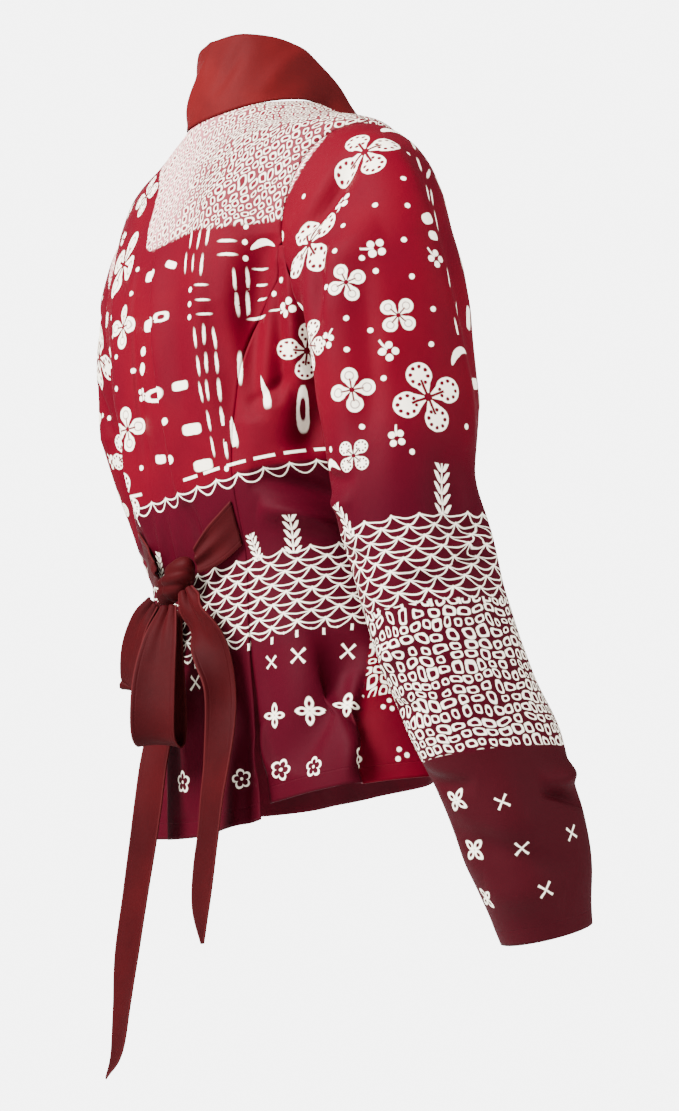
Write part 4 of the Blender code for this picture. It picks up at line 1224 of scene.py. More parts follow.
def cloth_piece(name, cloth, wall, materials):
    """A finished sheet of cloth in place of a node; its materials are its face's and its reverse's."""
    mesh = grid_mesh(name, cloth)
    if cloth.closed:
        form = bmesh.new()
        form.from_mesh(mesh)
        bmesh.ops.remove_doubles(form, verts=form.verts, dist=1e-6)
        form.to_mesh(mesh)
        form.free()
    mesh.shade_smooth()
    piece = new_object(f"{name}_cloth", mesh, materials)
    shell = piece.modifiers.new("wall", "SOLIDIFY")
    shell.thickness = wall
    shell.offset = -1
    shell.use_quality_normals = True
    shell.material_offset = len(materials) - 1
    finish_piece(piece, name)
    width, length = np.ptp(cloth.flat[..., 0]), np.ptp(cloth.flat[..., 1])
    area = flat_area(cloth.flat)


def finish_piece(piece, node):
    """Sets a piece in its node's place on the frame."""
    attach(piece, "root")
    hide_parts(node)


# ---------------------------------------------------------------- shader arithmetic


def math_operator(operation, swapped=False):
    """A Value's operator: it adds a Math node for this operation."""

    def apply(value, other):
        pair = (other, value) if swapped else (value, other)
        return value.nodes.math(operation, *pair)

    return apply


class Value:
    """A number that a shader works out at each point."""

    def __init__(self, nodes, socket):
        self.nodes = nodes
        self.socket = socket

    __add__, __radd__ = math_operator("ADD"), math_operator("ADD", True)
    __sub__, __rsub__ = math_operator("SUBTRACT"), math_operator("SUBTRACT", True)
    __mul__, __rmul__ = math_operator("MULTIPLY"), math_operator("MULTIPLY", True)
    __truediv__, __rtruediv__ = math_operator("DIVIDE"), math_operator("DIVIDE", True)
    __pow__ = math_operator("POWER")
    __mod__ = math_operator("FLOORED_MODULO")

    def __neg__(self):
        return 0 - self

    def __abs__(self):
        return self.nodes.math("ABSOLUTE", self)


class Nodes:
    """Builds one material's nodes."""

    def __init__(self, name):
        self.material = bpy.data.materials.new(name)
        self.material.use_nodes = True
        self.tree = self.material.node_tree
        self.tree.nodes.clear()

    def add(self, kind, settings, values, output=0):
        """A new node's output, with its settings made first and then its inputs set or linked."""
        node = self.tree.nodes.new(kind)
        for setting, value in settings.items():
            setattr(node, setting, value)
        for name, value in values.items():
            value = value.socket if isinstance(value, Value) else value
            if isinstance(value, bpy.types.NodeSocket):
                self.tree.links.new(value, node.inputs[name])
            else:
                node.inputs[name].default_value = value
        return node.outputs[output] if node.outputs else None

    def finish(self, shader):
        """The material, with this shader on its surface."""
        self.add("ShaderNodeOutputMaterial", {}, {"Surface": shader})
        return self.material

    def number(self, kind, settings, values, output=0):
        """A new node's output as a Value."""
        return Value(self, self.add(kind, settings, values, output))

    def math(self, operation, *values):
        """A Math node's result."""
        return self.number("ShaderNodeMath", {"operation": operation}, dict(enumerate(values)))

    def split(self, vector, count):
        """The first numbers of a vector."""
        return [self.number("ShaderNodeSeparateXYZ", {}, {"Vector": vector}, axis) for axis in range(count)]

    def uv(self, layer):
        """The two numbers of a UV map."""
        return self.split(self.add("ShaderNodeUVMap", {"uv_map": layer}, {}), 2)

    def object_place(self):
        """Where each point is on the piece."""
        return self.add("ShaderNodeTexCoord", {}, {}, "Object")

    def vector(self, x, y):
        """A flat place as a vector."""
        return self.add("ShaderNodeCombineXYZ", {}, {0: x, 1: y})

    def noise(self, where, scale, detail=2.0):
        """Soft noise from 0 to 1."""
        values = {"Vector": where, "Scale": scale, "Detail": detail, "Roughness": 0.5}
        return self.number("ShaderNodeTexNoise", {"noise_dimensions": "3D"}, values)

    def sway(self, where, sway):
        """Soft noise to both sides of 0."""
        return (self.noise(where, sway.scale, sway.detail) - 0.5) * sway.reach

    def ramp(self, value, low, high, start=0.0, end=1.0):
        """From start to end, smoothly, as the value goes from low to high."""
        values = {0: value, 1: low, 2: high, 3: start, 4: end}
        return self.number("ShaderNodeMapRange", {"interpolation_type": "SMOOTHSTEP"}, values)

    def inside(self, outline, soft):
        """1 where a distance outside an outline is below 0, and 0 where it is above, with a soft edge."""
        return self.ramp(outline, -soft, soft, 1.0, 0.0)

    def within(self, distance, half, soft):
        """1 where a distance to either side is less than half, 0 outside, with a soft edge."""
        return self.ramp(abs(distance), half - soft, half + soft, 1.0, 0.0)

    def mix(self, factor, base, over):
        """A colour between two."""
        return self.add("ShaderNodeMix", {"data_type": "RGBA"}, {0: factor, 6: base, 7: over}, 2)

    def span(self, x, y):
        """How far a place is from the middle."""
        return self.math("SQRT", x * x + y * y)

    def least(self, *values):
        """The least of some values."""
        return self.fold("MINIMUM", values)

    def most(self, *values):
        """The greatest of some values."""
        return self.fold("MAXIMUM", values)

    def fold(self, operation, values):
        """An operation of two values carried on over more of them."""
        result = values[0]
        for value in values[1:]:
            result = self.math(operation, result, value)
        return result


# ---------------------------------------------------------------- the print

INK = 0.0004  # softness of a printed edge
LINE = 0.00048  # half the width of a waxed line
LINE_SWELL = 0.0004  # how far the net's lines swell where they meet
SCALE_LIP = 0.0030  # how far a scale's upper arc hangs
SCALLOP_SAGS = (0.0026, 0.0088)
HOOK_HALF_WIDTH, HOOK_MIDDLE, HOOK_HALF_HEIGHT = 0.0010, -0.0022, 0.0026
DASH_PITCH, DASH_HALF_LENGTH, DASH_UP, DASH_HALF_WIDTH = 0.024, 0.0085, 0.008, 0.0011
DASH_CLEAR = 0.030  # no dashes as near the centre back as this

# Unevenness by hand: how fine it is, its detail and how far it goes from end to end.
Sway = namedtuple("Sway", "scale detail reach")
MOTIF_SWAY = Sway(160.0, 2.0, 0.0011)
PRINT_SWAY = Sway(160.0, 2.0, 0.0014)
ROW_SWAY = Sway(34.0, 1.0, 0.009)
NET_SWAY = Sway(60.0, 1.0, 0.0044)
BLOCK_SWAY = Sway(52.0, 1.0, 0.011)
WASH_SWAY = Sway(18.0, 3.0, 0.09)
OTHER_PLACE = (3.1, 1.7, 0.0)  # moves a noise on, for a second one that differs

# Rows of small rounded blocks: the room of one across and up. A block's half width and half height
# are shares of its room, the least one and what chance adds; so is how far chance moves it.
PEBBLE_ROOM, RING_ROOM = (0.0090, 0.0084), (0.0072, 0.0078)
BLOCK_WIDTH, BLOCK_HEIGHT = (0.22, 0.18), (0.24, 0.15)
BLOCK_MOVE = 0.10
ROW_STRETCH = (0.8, 0.5)  # how much longer a row's rooms are: the least share, and what chance adds
ROW_START = 7  # a row starts as many rooms along as chance gives, up to this
BLOCK_SQUARE = 3
BLOCK_SCALE = 0.32  # turns a distance in half widths into one in rooms
PEBBLE_LINE, RING_LINE = (0.085, 0.03), (0.080, 0.035)  # half the width of their lines, and its softness
RING_SLANT = (0.94, 0.34)  # cosine and sine
RING_WHITE = 0.82
RING_HOLES = (-0.06, -0.02, 0.3, 1.0)  # inside a ring the wash is thin, and it is full at the line
NET_DRIFT, BLOCK_DRIFT = 0.6, 0.8  # shares of the rows' sway that reach the net and the blocks
PATCH_SOFT, YOKE_SOFT, DASH_SOFT = 0.0005, 0.0015, 0.001
WASH_EDGE = (-0.001, 0.002)
WASH_RUN, WASH_SHARES = (0.075, -0.020), (0.05, 0.50)  # where the wash goes from thin to full, and both

# Parts of a flower, as shares of its radius.
PETAL_AT, PETAL_RADIUS, PETAL_SLOPE, PETAL_SHOULDER, PETAL_FOOT = 0.62, 0.35, 0.62, 0.47, 0.09
SPECKS, SPECKS_AT, SPECK_RADIUS = 8, 0.24, 0.056
CURL_AT, CURL_HALF_WIDTH, CURL_SHARE = 0.18, 0.028, 0.75
VEIN_HALF_WIDTH, VEIN_END = 0.040, 0.50
MIDDLE_RADIUS, CLOVER_MIDDLE_RADIUS = 0.12, 0.16
STALK_BEND, STALK_HALF_WIDTH, STALK_AT, STALK_HALF_LENGTH = 0.1, 0.09, 0.85, 0.6


def wobbled(nodes, values, noise_at, sway):
    """Two numbers moved a little by noise, as a line drawn by hand is."""
    other = nodes.add("ShaderNodeVectorMath", {"operation": "ADD"}, {0: noise_at, 1: OTHER_PLACE})
    return [value + nodes.sway(at, sway) for value, at in zip(values, (noise_at, other))]


def to_marks(across, pitch):
    """Distance to the nearest of a row of marks."""
    return abs((across / pitch) % 1 - 0.5) * pitch


def arc(nodes, x, below, sag):
    """Distance to an arc that hangs between two of the net's cusps; x goes from -0.5 to 0.5."""
    slope = x * (8 * sag / NET_WIDTH)
    return abs(below - sag * (1 - 4 * x * x)) / nodes.math("SQRT", 1 + slope * slope)


def scale_rows(nodes, across, up):
    """Distance to the lines of rows of scales: two arcs hang from cusp to cusp, and rows alternate."""
    count = round((NET_TOP - NET_BOTTOM) / NET_PITCH)
    row = nodes.least(nodes.most(nodes.math("CEIL", up / NET_PITCH), 1), count)
    x = (across / NET_WIDTH + (row % 2) * 0.5) % 1 - 0.5
    below = row * NET_PITCH - up
    cusp, joint = (0.5 - abs(x)) * NET_WIDTH, x * NET_WIDTH
    knots = nodes.least(nodes.span(cusp, below), nodes.span(joint, NET_PITCH - below))
    arcs = (arc(nodes, x, below, sag) for sag in (SCALE_LIP, NET_PITCH))
    return nodes.least(*arcs, knots - LINE_SWELL)


def block_rows(nodes, across, up, room):
    """How far outside rounded blocks laid in rows, as a share of a block's room: below 0 inside."""
    wide, high = room
    row = nodes.math("FLOOR", up / high)
    shift = nodes.number("ShaderNodeTexWhiteNoise", {"noise_dimensions": "1D"}, {"W": row})
    least_stretch, more_stretch = ROW_STRETCH
    along = across / (shift * more_stretch + least_stretch) / wide + shift * ROW_START
    block = {"Vector": nodes.vector(nodes.math("FLOOR", along), row)}
    chance = nodes.split(nodes.add("ShaderNodeTexWhiteNoise", {"noise_dimensions": "2D"}, block, 1), 3)
    half_width, half_height = (
        least + more * share for (least, more), share in zip((BLOCK_WIDTH, BLOCK_HEIGHT), chance)
    )
    x = (along % 1 - 0.5 + (chance[2] - 0.5) * BLOCK_MOVE) / half_width
    y = ((up / high) % 1 - 0.5) / half_height
    return ((abs(x) ** BLOCK_SQUARE + abs(y) ** BLOCK_SQUARE) ** (1 / BLOCK_SQUARE) - 1) * BLOCK_SCALE


def folded(nodes, angle, radius, count):
    """Distances along and beside the nearest of a ring of petals."""
    share = math.tau / count
    turn = (angle % share) - share / 2
    return radius * nodes.math("COSINE", turn), radius * nodes.math("SINE", turn)


def rounded(x, y, wide, high, square):
    """How far outside a rounded block: below 0 inside it."""
    return (((abs(x) / wide) ** square + (abs(y) / high) ** square) ** (1 / square) - 1) * min(wide, high)


def flowers(nodes, x, y, angle, radius, inside):
    """The flowers' masks, by kind: four petals on narrow feet, with what is drawn on them."""
    along, beside = folded(nodes, angle, radius, 4)
    from_middle = along - PETAL_AT
    spread = nodes.span(from_middle, beside)
    foot = nodes.most(abs(beside) - along * PETAL_SLOPE, along - PETAL_SHOULDER, PETAL_FOOT - along)
    petals = inside(nodes.least(spread - PETAL_RADIUS, foot))
    share = math.tau / SPECKS
    round_petal = nodes.math("ARCTAN2", beside, from_middle)
    speck_across = (round_petal % share - share / 2) * SPECKS_AT
    specks = inside(nodes.span(speck_across, spread - SPECKS_AT) - SPECK_RADIUS)
    curl = inside(abs(spread - CURL_AT) - CURL_HALF_WIDTH) * CURL_SHARE
    vein = inside(nodes.most(abs(beside) - VEIN_HALF_WIDTH, along - VEIN_END))
    middle, clover_middle = inside(radius - MIDDLE_RADIUS), inside(radius - CLOVER_MIDDLE_RADIUS)
    stalk = abs(y + STALK_BEND * x * x) - STALK_HALF_WIDTH
    stalk = nodes.most(stalk, abs(x - STALK_AT) - STALK_HALF_LENGTH)
    return {
        "dotted": petals * (1 - nodes.most(vein, middle, specks)),
        "blossom": petals * (1 - nodes.most(vein, middle, curl)),
        "clover": inside(nodes.least(spread - PETAL_RADIUS, stalk)) * (1 - clover_middle),
    }


def outlines(nodes, x, y, angle, radius):
    """How far outside the other motifs each point is, by kind; every size is a share of the radius."""
    four_along, four_beside = folded(nodes, angle, radius, 4)
    three_along, three_beside = folded(nodes, angle, radius, 3)
    star = radius - 0.46 - 0.40 * abs(nodes.math("COSINE", angle * 2.5)) ** 0.6
    reach = abs(y) / 0.44
    leaves = abs((x - abs(y)) % 0.42 - 0.21) - reach * (1 - reach) * 0.55
    stem = abs(x) - 0.95
    bend = abs(y + 0.45 * x * x - 0.2)
    taper = nodes.most(1 - x * x, 0.0) ** 0.5 * (0.25 - 0.06 * x)
    return {
        "dot": radius - 0.95,
        "cross": nodes.most(nodes.least(abs(x), abs(y)) - 0.07 - 0.06 * radius, radius - 0.95),
        "four": abs(rounded(four_along - 0.55, four_beside, 0.38, 0.22, 1.7)) - 0.08,
        "five": nodes.least(abs(star) - 0.10, radius - 0.14),
        "three": nodes.span(three_along - 0.6, three_beside) - 0.27,
        "sprig": nodes.least(nodes.most(leaves, reach - 1, stem), nodes.most(abs(y) - 0.035, stem)),
        "dash": rounded(x, y, 1.0, 0.16, 2.6),
        "leaf": nodes.most(bend - taper, abs(x) - 1),
        "ring": abs(rounded(x, y, 0.8, 0.42, 3.0)) - 0.15,
        "block": rounded(x, y, 0.95, 0.42, 4.0),
        "bead": rounded(x, y, 0.9, 0.75, 2.5),
        "drop": rounded(x, y / (1 + 0.6 * x), 1.0, 0.2, 3.0),
        "loop": abs(rounded(x, y / (1 - 0.2 * x), 0.88, 0.25, 2.4)) - 0.085,
    }


def motif_mask(nodes, at):
    """How much of the wax's white there is at each point, from the nearest motif."""
    x, y = wobbled(nodes, nodes.uv("motif"), at, MOTIF_SWAY)
    kind, size = nodes.uv("kind")
    size = nodes.most(size, 0.0001)
    x, y, soft = x / size, y / size, INK / size
    angle, radius = nodes.math("ARCTAN2", y, x), nodes.span(x, y)

    def inside(outline):
        return nodes.inside(outline, soft)

    masks = flowers(nodes, x, y, angle, radius, inside)
    masks.update({name: inside(line) for name, line in outlines(nodes, x, y, angle, radius).items()})
    chosen = [mask * nodes.within(kind - KINDS.index(name), 0.5, 0.01) for name, mask in masks.items()]
    return nodes.fold("ADD", chosen)


def waist_lines(nodes, across, waist):
    """The line of scallops at the waist, and the dashes over it."""
    x = (across / NET_WIDTH) % 1 - 0.5
    scallops = nodes.least(*(arc(nodes, x, -waist, sag) for sag in SCALLOP_SAGS))
    along = to_marks(across, DASH_PITCH) - DASH_HALF_LENGTH
    dashes = nodes.inside(nodes.most(along, abs(waist - DASH_UP) - DASH_HALF_WIDTH), INK)
    dashes = dashes * nodes.ramp(abs(across), DASH_CLEAR, DASH_CLEAR + DASH_SOFT)
    return nodes.within(scallops, LINE, INK), dashes


def net_lines(nodes, across, drift, net):
    """The net of scales, and the short hooks under it."""
    scales = scale_rows(nodes, across + drift * NET_DRIFT, net)
    along = to_marks(across, NET_WIDTH) - HOOK_HALF_WIDTH
    hooks = nodes.most(along, abs(net - HOOK_MIDDLE) - HOOK_HALF_HEIGHT)
    return nodes.within(scales, LINE, INK), nodes.inside(hooks, INK)


def print_mask(nodes, at):
    """How much white the print leaves at each point, and how much of the yoke's wash."""
    across, up = wobbled(nodes, nodes.uv("flat"), at, PRINT_SWAY)
    waist, yoke = nodes.uv("zone")
    net, pebble = nodes.uv("band")
    drift, uneven = nodes.sway(at, ROW_SWAY), nodes.sway(at, BLOCK_SWAY)
    blocks = block_rows(nodes, across + drift, up + drift * BLOCK_DRIFT + uneven, PEBBLE_ROOM)
    blocks = nodes.within(blocks, *PEBBLE_LINE) * nodes.inside(pebble, PATCH_SOFT)
    level, slant = RING_SLANT
    ring_across, ring_up = across * level + up * slant + drift, up * level - across * slant + drift
    rings = block_rows(nodes, ring_across, ring_up + uneven, RING_ROOM)
    holes = nodes.ramp(rings, *RING_HOLES)
    rings = nodes.within(rings, *RING_LINE) * nodes.ramp(yoke, -YOKE_SOFT, YOKE_SOFT) * RING_WHITE
    lines = (
        *net_lines(nodes, across, drift, net + nodes.sway(at, NET_SWAY)),
        *waist_lines(nodes, across, waist),
    )
    cloudy = nodes.ramp(across + nodes.sway(at, WASH_SWAY), *WASH_RUN, *WASH_SHARES)
    wash = nodes.ramp(yoke, *WASH_EDGE) * cloudy * holes
    return nodes.most(motif_mask(nodes, at), *lines, blocks, rings), wash


# ---------------------------------------------------------------- finishes

WEAVE_PITCH, WEAVE_DEPTH = 0.0006, 0.00003
NAP_SCALE, NAP_DEPTH = 260.0, 0.00012
FINE_SCALE = 420.0
BATIK_PATCHES, PLAIN_PATCHES = 14.0, 22.0  # how fine the dye's duller patches are
SEAM_HALF_WIDTH, SEAM_DEPTH = 0.0006, 0.00008
HEM_STITCH, EDGE_STITCH = 0.012, 0.0035  # how far the stitches are from the edge
STITCH_PITCH, STITCH_HALF_LENGTH, STITCH_HALF_WIDTH, STITCH_DEPTH = 0.0028, 0.0011, 0.0005, 0.00018
SEAM_SOFT, STITCH_SOFT, STITCH_END_SOFT = 0.0006, 0.0004, 0.0003
STITCH_GROOVE = 0.4  # share of the depth that is pressed in between two stitches
EDGE_HALF_WIDTH, EDGE_SOFT, EDGE_SHARE = 0.0009, 0.0006, 0.45  # the lighter line along a plain cloth's edge
DULL_PATCHES = (0.3, 0.7)  # the noise goes from dull to bright over this
WHITE_LEAST = 0.88  # the fine grain takes the white down to this share
RIM = (0.0006, 0.0012)  # the print fades in over this stretch below a top edge


def ground(nodes, at, patches, shade, colour):
    """A dyed ground, with soft duller patches."""
    bright = nodes.ramp(nodes.noise(at, patches, 3.0), *DULL_PATCHES)
    return nodes.mix(bright, tuple(shade), tuple(colour))


def nap(nodes, at):
    """The height of the cloth's nap."""
    return nodes.noise(at, NAP_SCALE, 3.0) * NAP_DEPTH


def weave(nodes, across, up):
    """The height of a plain weave."""
    waves = (nodes.math("SINE", place * (math.tau / WEAVE_PITCH)) for place in (across, up))
    return nodes.fold("MULTIPLY", [*waves, WEAVE_DEPTH])


def stitch_row(nodes, beside, along):
    """How deep a row of stitches presses the cloth in."""
    stitch = nodes.inside(to_marks(along, STITCH_PITCH) - STITCH_HALF_LENGTH, STITCH_END_SOFT)
    pressed = STITCH_GROOVE + (1 - STITCH_GROOVE) * stitch
    return nodes.within(beside, STITCH_HALF_WIDTH, STITCH_SOFT) * pressed * STITCH_DEPTH


def cloth_material(nodes, colour, fine, height):
    """A cloth's material, its bumps in metres."""
    values = {
        "Base Color": colour,
        "Roughness": 0.5 + 0.15 * fine,
        "Normal": nodes.add("ShaderNodeBump", {}, {"Strength": 1.0, "Distance": 1.0, "Height": height}),
        "Sheen Weight": 0.011,
        "Sheen Roughness": 0.5,
        "Sheen Tint": (0.8, 0.25, 0.25, 1.0),
        "Specular IOR Level": 0.03,
    }
    return nodes.finish(nodes.add("ShaderNodeBsdfPrincipled", {}, values))


def batik_material(name, cloth):
    """The printed cotton."""
    nodes = Nodes(name)
    at = nodes.object_place()
    across, up = nodes.uv("flat")
    side, low = nodes.uv("edge")
    high, dye = nodes.uv("top")
    white, wash = print_mask(nodes, nodes.vector(across, up))
    fine = nodes.noise(at, FINE_SCALE)
    printed = nodes.ramp(high, *RIM)
    red = ground(nodes, at, BATIK_PATCHES, cloth.shade, cloth.red)
    # The ground darkens from red to wine and maroon by this level, which on the fronts below the net is kept
    # low as painted light.
    red = nodes.mix(nodes.ramp(dye, 0.0, 1.0), red, tuple(cloth.wine))
    red = nodes.mix(nodes.ramp(dye, 1.0, 2.0), red, tuple(cloth.maroon))
    red = nodes.mix(wash * printed, red, tuple(cloth.wash))
    white = white * printed * (WHITE_LEAST + (1 - WHITE_LEAST) * fine)
    colour = nodes.mix(white, red, tuple(cloth.white))
    height = weave(nodes, across, up) + nap(nodes, at)
    height = height - nodes.within(side, SEAM_HALF_WIDTH, SEAM_SOFT) * SEAM_DEPTH
    height = height - stitch_row(nodes, low - HEM_STITCH, across)
    return cloth_material(nodes, colour, fine, height)


def plain_material(name, colour, shade, edge):
    """Plain cotton, with a line of stitches inside its edges."""
    nodes = Nodes(name)
    at = nodes.object_place()
    across, up = nodes.uv("flat")
    side = nodes.uv("edge")[0]
    plain = ground(nodes, at, PLAIN_PATCHES, shade, colour)
    lighter_edge = nodes.within(side, EDGE_HALF_WIDTH, EDGE_SOFT) * EDGE_SHARE
    plain = nodes.mix(lighter_edge, plain, tuple(edge))
    height = weave(nodes, across, up) + nap(nodes, at)
    height = height - stitch_row(nodes, side - EDGE_STITCH, up)
    return cloth_material(nodes, plain, nodes.noise(at, FINE_SCALE), height)


def reverse_painted_shade_material(name, cloth):
    """The printed cotton's plain reverse, dark as painted shade where the inside shows."""
    return plain_material(name, cloth.reverse, cloth.maroon, cloth.reverse)


def knot_material(name, colour, shade):
    """The tie's cotton on the knot, which has no edges."""
    nodes = Nodes(name)
    at = nodes.object_place()
    plain = ground(nodes, at, PLAIN_PATCHES, shade, colour)
    return cloth_material(nodes, plain, nodes.noise(at, FINE_SCALE), nap(nodes, at))


# ---------------------------------------------------------------- settings


def length(name, description, default):
    """A length in metres that a user may change."""
    return FloatProperty(
        name=name, description=description, default=default, min=0.0, unit="LENGTH", precision=4
    )


def amount(name, description, default, low=0.0):
    """A plain number that a user may change."""
    return FloatProperty(name=name, description=description, default=default, min=low)


def colour(name, description, default):
    """A colour that a user may change."""
    return FloatVectorProperty(
        name=name, description=description, default=(*default, 1.0), size=4, min=0.0, max=1.0, subtype="COLOR"
    )


class KebayaCloth(bpy.types.PropertyGroup):
    """Sizes and colours of the printed cloth and the collar."""

    wall: length("Wall", "Thickness of the cloth", 0.0011)
    face: length("Face size", "Length of a face's side", 0.0025)
    crease: amount("Creases", "How deep the creases are, as a share of the drawn depth", 1.7)
    red: colour("Red", "Colour of the ground where it is brightest", (0.0780, 0.0002, 0.0051))
    shade: colour("Dull red", "Colour of the ground where it is dullest", (0.0624, 0.0002, 0.0048))
    wine: colour(
        "Wine", "Colour of the ground below the waist's line and on the forearm", (0.0328, 0.0003, 0.0039)
    )
    maroon: colour("Maroon", "Colour of the cuff's ground", (0.0265, 0.0016, 0.0036))
    white: colour("White", "Colour that the wax leaves", (0.96, 0.89, 0.73))
    # Darker than the ground: painted shade inside the garment, where the reverse shows.
    reverse: colour("Reverse", "Colour of the printed cotton's reverse", (0.0429, 0.0008, 0.0047))
    wash: colour("Yoke wash", "Pale dye between the yoke's rings", (0.85, 0.34, 0.37))
    collar: colour("Collar", "Colour of the collar", (0.0671, 0.0039, 0.0044))
    collar_shade: colour("Dull collar", "Colour of the collar where it is dullest", (0.0499, 0.0031, 0.0036))


class KebayaTie(bpy.types.PropertyGroup):
    """Sizes and colours of the tie."""

    wall: length("Wall", "Thickness of the tie, of two layers of cloth", 0.0014)
    face: length("Face size", "Length of a face's side", 0.002)
    crease: amount("Creases", "How deep the creases are, as a share of the drawn depth", 1.0)
    colour: colour("Rust", "Colour of the tie where it is brightest", (0.0265, 0.0014, 0.0021))
    shade: colour("Dull rust", "Colour of the tie where it is dullest", (0.0190, 0.0010, 0.0016))
    edge: colour("Edge", "Colour of the tie's sewn edges", (0.0663, 0.0094, 0.0101))


class KebayaStage(bpy.types.PropertyGroup):
    """The camera, the lights and the floor."""

    azimuth: amount("Azimuth", "Degrees that the camera is round from the front", 238.0)
    elevation: amount("Elevation", "Degrees that the camera is above the middle", -8.0, -90.0)
    roll: amount("Roll", "Degrees that the camera is rolled", 4.0, -90.0)
    distance: length("Distance", "From the middle to the camera", 3.0)
    lens: amount("Lens", "Focal length in millimetres", 124.43)
    floor: FloatProperty(name="Floor", description="Height of the floor", default=-0.95, unit="LENGTH")
    pale: colour("Floor colour", "Colour of the floor", (0.80, 0.80, 0.80))
    paper: amount("Backdrop", "Strength of the lit backdrop", 6.0)
    key: amount("Key light", "Watts of the large soft light", 490.0)
    fill: amount("Fill light", "Watts of the weak light", 140.0)
    sky: amount("Surroundings", "Strength of the light all round", 0.40)


# ---------------------------------------------------------------- operators


class KEBAYA_OT_back(bpy.types.Operator):
    """Make the back's three panels"""

    bl_idname = "kebaya.back"
    bl_label = "Back"

    def execute(self, context):
        cloth = context.scene.kebaya_cloth
        finish = batik_material("batik_back", cloth), reverse_painted_shade_material("reverse_back", cloth)
        panels = {
            "back_centre": centre_back(cloth.face, cloth.crease),
            "back_right": side_back(1, cloth.face, cloth.crease),
            "back_left": side_back(-1, cloth.face, cloth.crease),
        }
        for name, panel in panels.items():
            cloth_piece(name, body_print(panel), cloth.wall, finish)
        return {"FINISHED"}


class KEBAYA_OT_fronts(bpy.types.Operator):
    """Make the two fronts"""

    bl_idname = "kebaya.fronts"
    bl_label = "Fronts"

    def execute(self, context):
        cloth = context.scene.kebaya_cloth
        finish = batik_material("batik_front", cloth), reverse_painted_shade_material("reverse_front", cloth)
        for side, name in ((1, "front_right"), (-1, "front_left")):
            panel = body_print(front(side, cloth.face, cloth.crease))
            cloth_piece(name, panel, cloth.wall, finish)
        return {"FINISHED"}


class KEBAYA_OT_sleeves(bpy.types.Operator):
    """Make the two sleeves"""

    bl_idname = "kebaya.sleeves"
    bl_label = "Sleeves"

    def execute(self, context):
        cloth = context.scene.kebaya_cloth
        finish = batik_material("batik_sleeve", cloth), reverse_painted_shade_material("reverse_sleeve", cloth)
        arms = (("right", RIGHT_ARM, 1, RIGHT_SLEEVE_CREASES), ("left", LEFT_ARM, -1, LEFT_SLEEVE_CREASES))
        for name, arm, side, creases in arms:
            tube = sleeve_print(sleeve(arm, side, creases, cloth.face, cloth.crease))
            cloth_piece(f"sleeve_{name}", tube, cloth.wall, finish)
        return {"FINISHED"}


class KEBAYA_OT_collar(bpy.types.Operator):
    """Make the stand collar"""

    bl_idname = "kebaya.collar"
    bl_label = "Collar"

    def execute(self, context):
        cloth = context.scene.kebaya_cloth
        finish = plain_material("collar_plain", cloth.collar, cloth.collar_shade, cloth.collar)
        band = collar(cloth.face, cloth.crease)
        cloth_piece("collar", band, cloth.wall, (finish,))
        return {"FINISHED"}


class KEBAYA_OT_tie(bpy.types.Operator):
    """Make the tie: its straps, knot, loops and tails"""

    bl_idname = "kebaya.tie"
    bl_label = "Tie"

    def execute(self, context):
        tie = context.scene.kebaya_tie
        finish = plain_material("tie_plain", tie.colour, tie.shade, tie.edge)
        ribbons = {
            "tie_strap_right": strap(1, tie.face, tie.crease),
            "tie_strap_left": strap(-1, tie.face, tie.crease),
        }
        ribbons.update({name: ribbon(runs, tie.face, tie.crease) for name, runs in TIE_RUNS.items()})
        for name, cloth in ribbons.items():
            held = "gathered" if "strap" in name or "loop" in name else "hung"
            cloth_piece(name, cloth, tie.wall, (finish,))
        mesh = mesh_of("tie_knot_cloth", knot_form())
        mesh.shade_smooth()
        knot = new_object("tie_knot_cloth", mesh, [knot_material("tie_knot", tie.colour, tie.shade)])
        finish_piece(knot, "tie_knot")
        return {"FINISHED"}


# ---------------------------------------------------------------- the stage

MIDDLE = Vector((0, 0, -0.35))  # what the camera and the lights look at
FLOOR_HALF, PAPER_HALF, PAPER_DISTANCE = 12, 2.6, 10
KEY_SIZE, KEY_PLACE = 1.4, (-0.22, 2.25, 1.40)
FILL_SIZE, FILL_PLACE = 1.8, (-2.3, -1.3, 0.6)
SURROUNDINGS = (0.95, 0.95, 0.95, 1.0)
SENSOR_WIDTH, SHIFT = 36.0, 0.0437


def square(name, half, material):
    """A level square of the stage."""
    form = bmesh.new()
    bmesh.ops.create_grid(form, x_segments=1, y_segments=1, size=half)
    return new_object(name, mesh_of(name, form), [material])


def floor_material(pale):
    """Plain pale ground with a slow grain."""
    nodes = Nodes("floor")
    grain = nodes.noise(nodes.object_place(), 6.0)
    values = {"Base Color": tuple(pale), "Roughness": 0.6 + 0.2 * grain}
    return nodes.finish(nodes.add("ShaderNodeBsdfPrincipled", {}, values))


def paper_material(strength):
    """Paper lit from all sides."""
    nodes = Nodes("backdrop")
    values = {"Color": (1.0, 1.0, 1.0, 1.0), "Strength": strength}
    return nodes.finish(nodes.add("ShaderNodeEmission", {}, values))


def place_backdrop(stage):
    """Hangs a lit sheet of paper far behind the garment."""
    paper = square("backdrop", PAPER_HALF, paper_material(stage.paper))
    azimuth = math.radians(stage.azimuth)
    away = -PAPER_DISTANCE * math.sin(azimuth), PAPER_DISTANCE * math.cos(azimuth)
    paper.location = (*away, stage.floor + PAPER_HALF)
    paper.rotation_euler = (math.radians(90), 0, azimuth)


def light_all_round(context, strength):
    """Sets an even light all round."""
    world = bpy.data.worlds.new("surroundings")
    world.use_nodes = True
    background = world.node_tree.nodes["Background"]
    background.inputs["Color"].default_value = SURROUNDINGS
    background.inputs["Strength"].default_value = strength
    context.scene.world = world


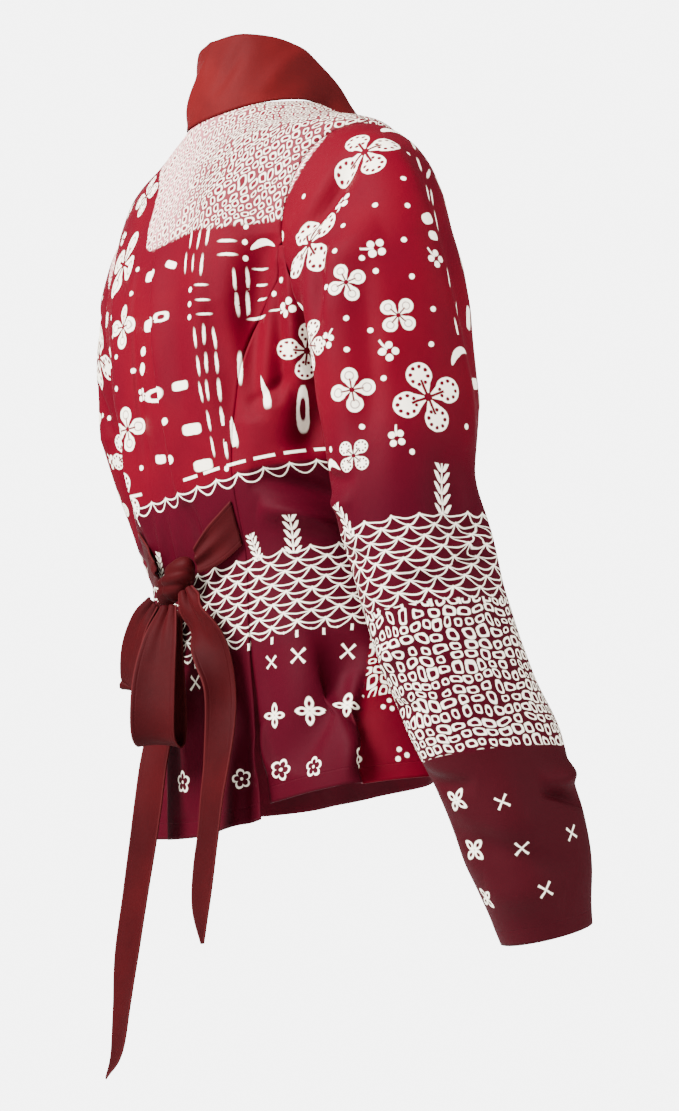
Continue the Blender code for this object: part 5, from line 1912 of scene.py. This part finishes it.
def place_light(name, watts, size, place):
    """Hangs a soft square light that faces the middle."""
    lamp = bpy.data.lights.new(name, "AREA")
    lamp.energy = watts
    lamp.size = size
    holder = new_object(name, lamp)
    holder.location = place
    holder.rotation_euler = (Vector(place) - MIDDLE).to_track_quat("Z", "Y").to_euler()


def place_camera(context, stage):
    """Sets the camera round, above or below and away from the middle, and rolls it."""
    azimuth, elevation, roll = (math.radians(x) for x in (stage.azimuth, stage.elevation, stage.roll))
    level = math.cos(elevation)
    back = Vector((math.sin(azimuth) * level, -math.cos(azimuth) * level, math.sin(elevation)))
    right = Vector((math.cos(azimuth), math.sin(azimuth), 0))
    up = back.cross(right)
    rolled = right * math.cos(roll) - up * math.sin(roll)
    upright = right * math.sin(roll) + up * math.cos(roll)
    lens = bpy.data.cameras.new("camera")
    lens.lens = stage.lens
    lens.sensor_width = SENSOR_WIDTH
    lens.shift_x = SHIFT
    holder = new_object("camera", lens)
    turn = Matrix((rolled, upright, back)).transposed()
    holder.matrix_world = Matrix.LocRotScale(MIDDLE + back * stage.distance, turn, None)
    context.scene.camera = holder


class KEBAYA_OT_stage(bpy.types.Operator):
    """Set the floor, the lights and the camera"""

    bl_idname = "kebaya.stage"
    bl_label = "Stage"

    def execute(self, context):
        stage = context.scene.kebaya_stage
        floor = square("floor", FLOOR_HALF, floor_material(stage.pale))
        floor.location.z = stage.floor
        place_backdrop(stage)
        light_all_round(context, stage.sky)
        place_camera(context, stage)
        place_light("key", stage.key, KEY_SIZE, KEY_PLACE)
        place_light("fill", stage.fill, FILL_SIZE, FILL_PLACE)
        return {"FINISHED"}


# ---------------------------------------------------------------- the add-on


class KEBAYA_PT_panel(bpy.types.Panel):
    """Sizes, colours and the steps"""

    bl_label = "Kebaya"
    bl_space_type = "VIEW_3D"
    bl_region_type = "UI"
    bl_category = "Kebaya"

    def draw(self, context):
        """Lists the settings, group by group, and then the steps."""
        for name, group in GROUPS.items():
            box = self.layout.box()
            for setting in group.__annotations__:
                box.prop(getattr(context.scene, name), setting)
        for step in STEPS:
            self.layout.operator(step.bl_idname)


STEPS = (
    KEBAYA_OT_back,
    KEBAYA_OT_fronts,
    KEBAYA_OT_sleeves,
    KEBAYA_OT_collar,
    KEBAYA_OT_tie,
    KEBAYA_OT_stage,
)
GROUPS = {"kebaya_cloth": KebayaCloth, "kebaya_tie": KebayaTie, "kebaya_stage": KebayaStage}
CLASSES = (*GROUPS.values(), *STEPS, KEBAYA_PT_panel)


def register():
    """Registers the classes and gives each scene its settings."""
    for item in CLASSES:
        bpy.utils.register_class(item)
    for name, group in GROUPS.items():
        setattr(bpy.types.Scene, name, PointerProperty(type=group))


def unregister():
    """Undoes register."""
    for name in GROUPS:
        delattr(bpy.types.Scene, name)
    for item in reversed(CLASSES):
        bpy.utils.unregister_class(item)


def main():
    """Makes every piece and the stage."""
    register()
    bpy.ops.kebaya.back()
    bpy.ops.kebaya.fronts()
    bpy.ops.kebaya.sleeves()
    bpy.ops.kebaya.collar()
    bpy.ops.kebaya.tie()
    bpy.ops.kebaya.stage()


if __name__ == "__main__":
    main()
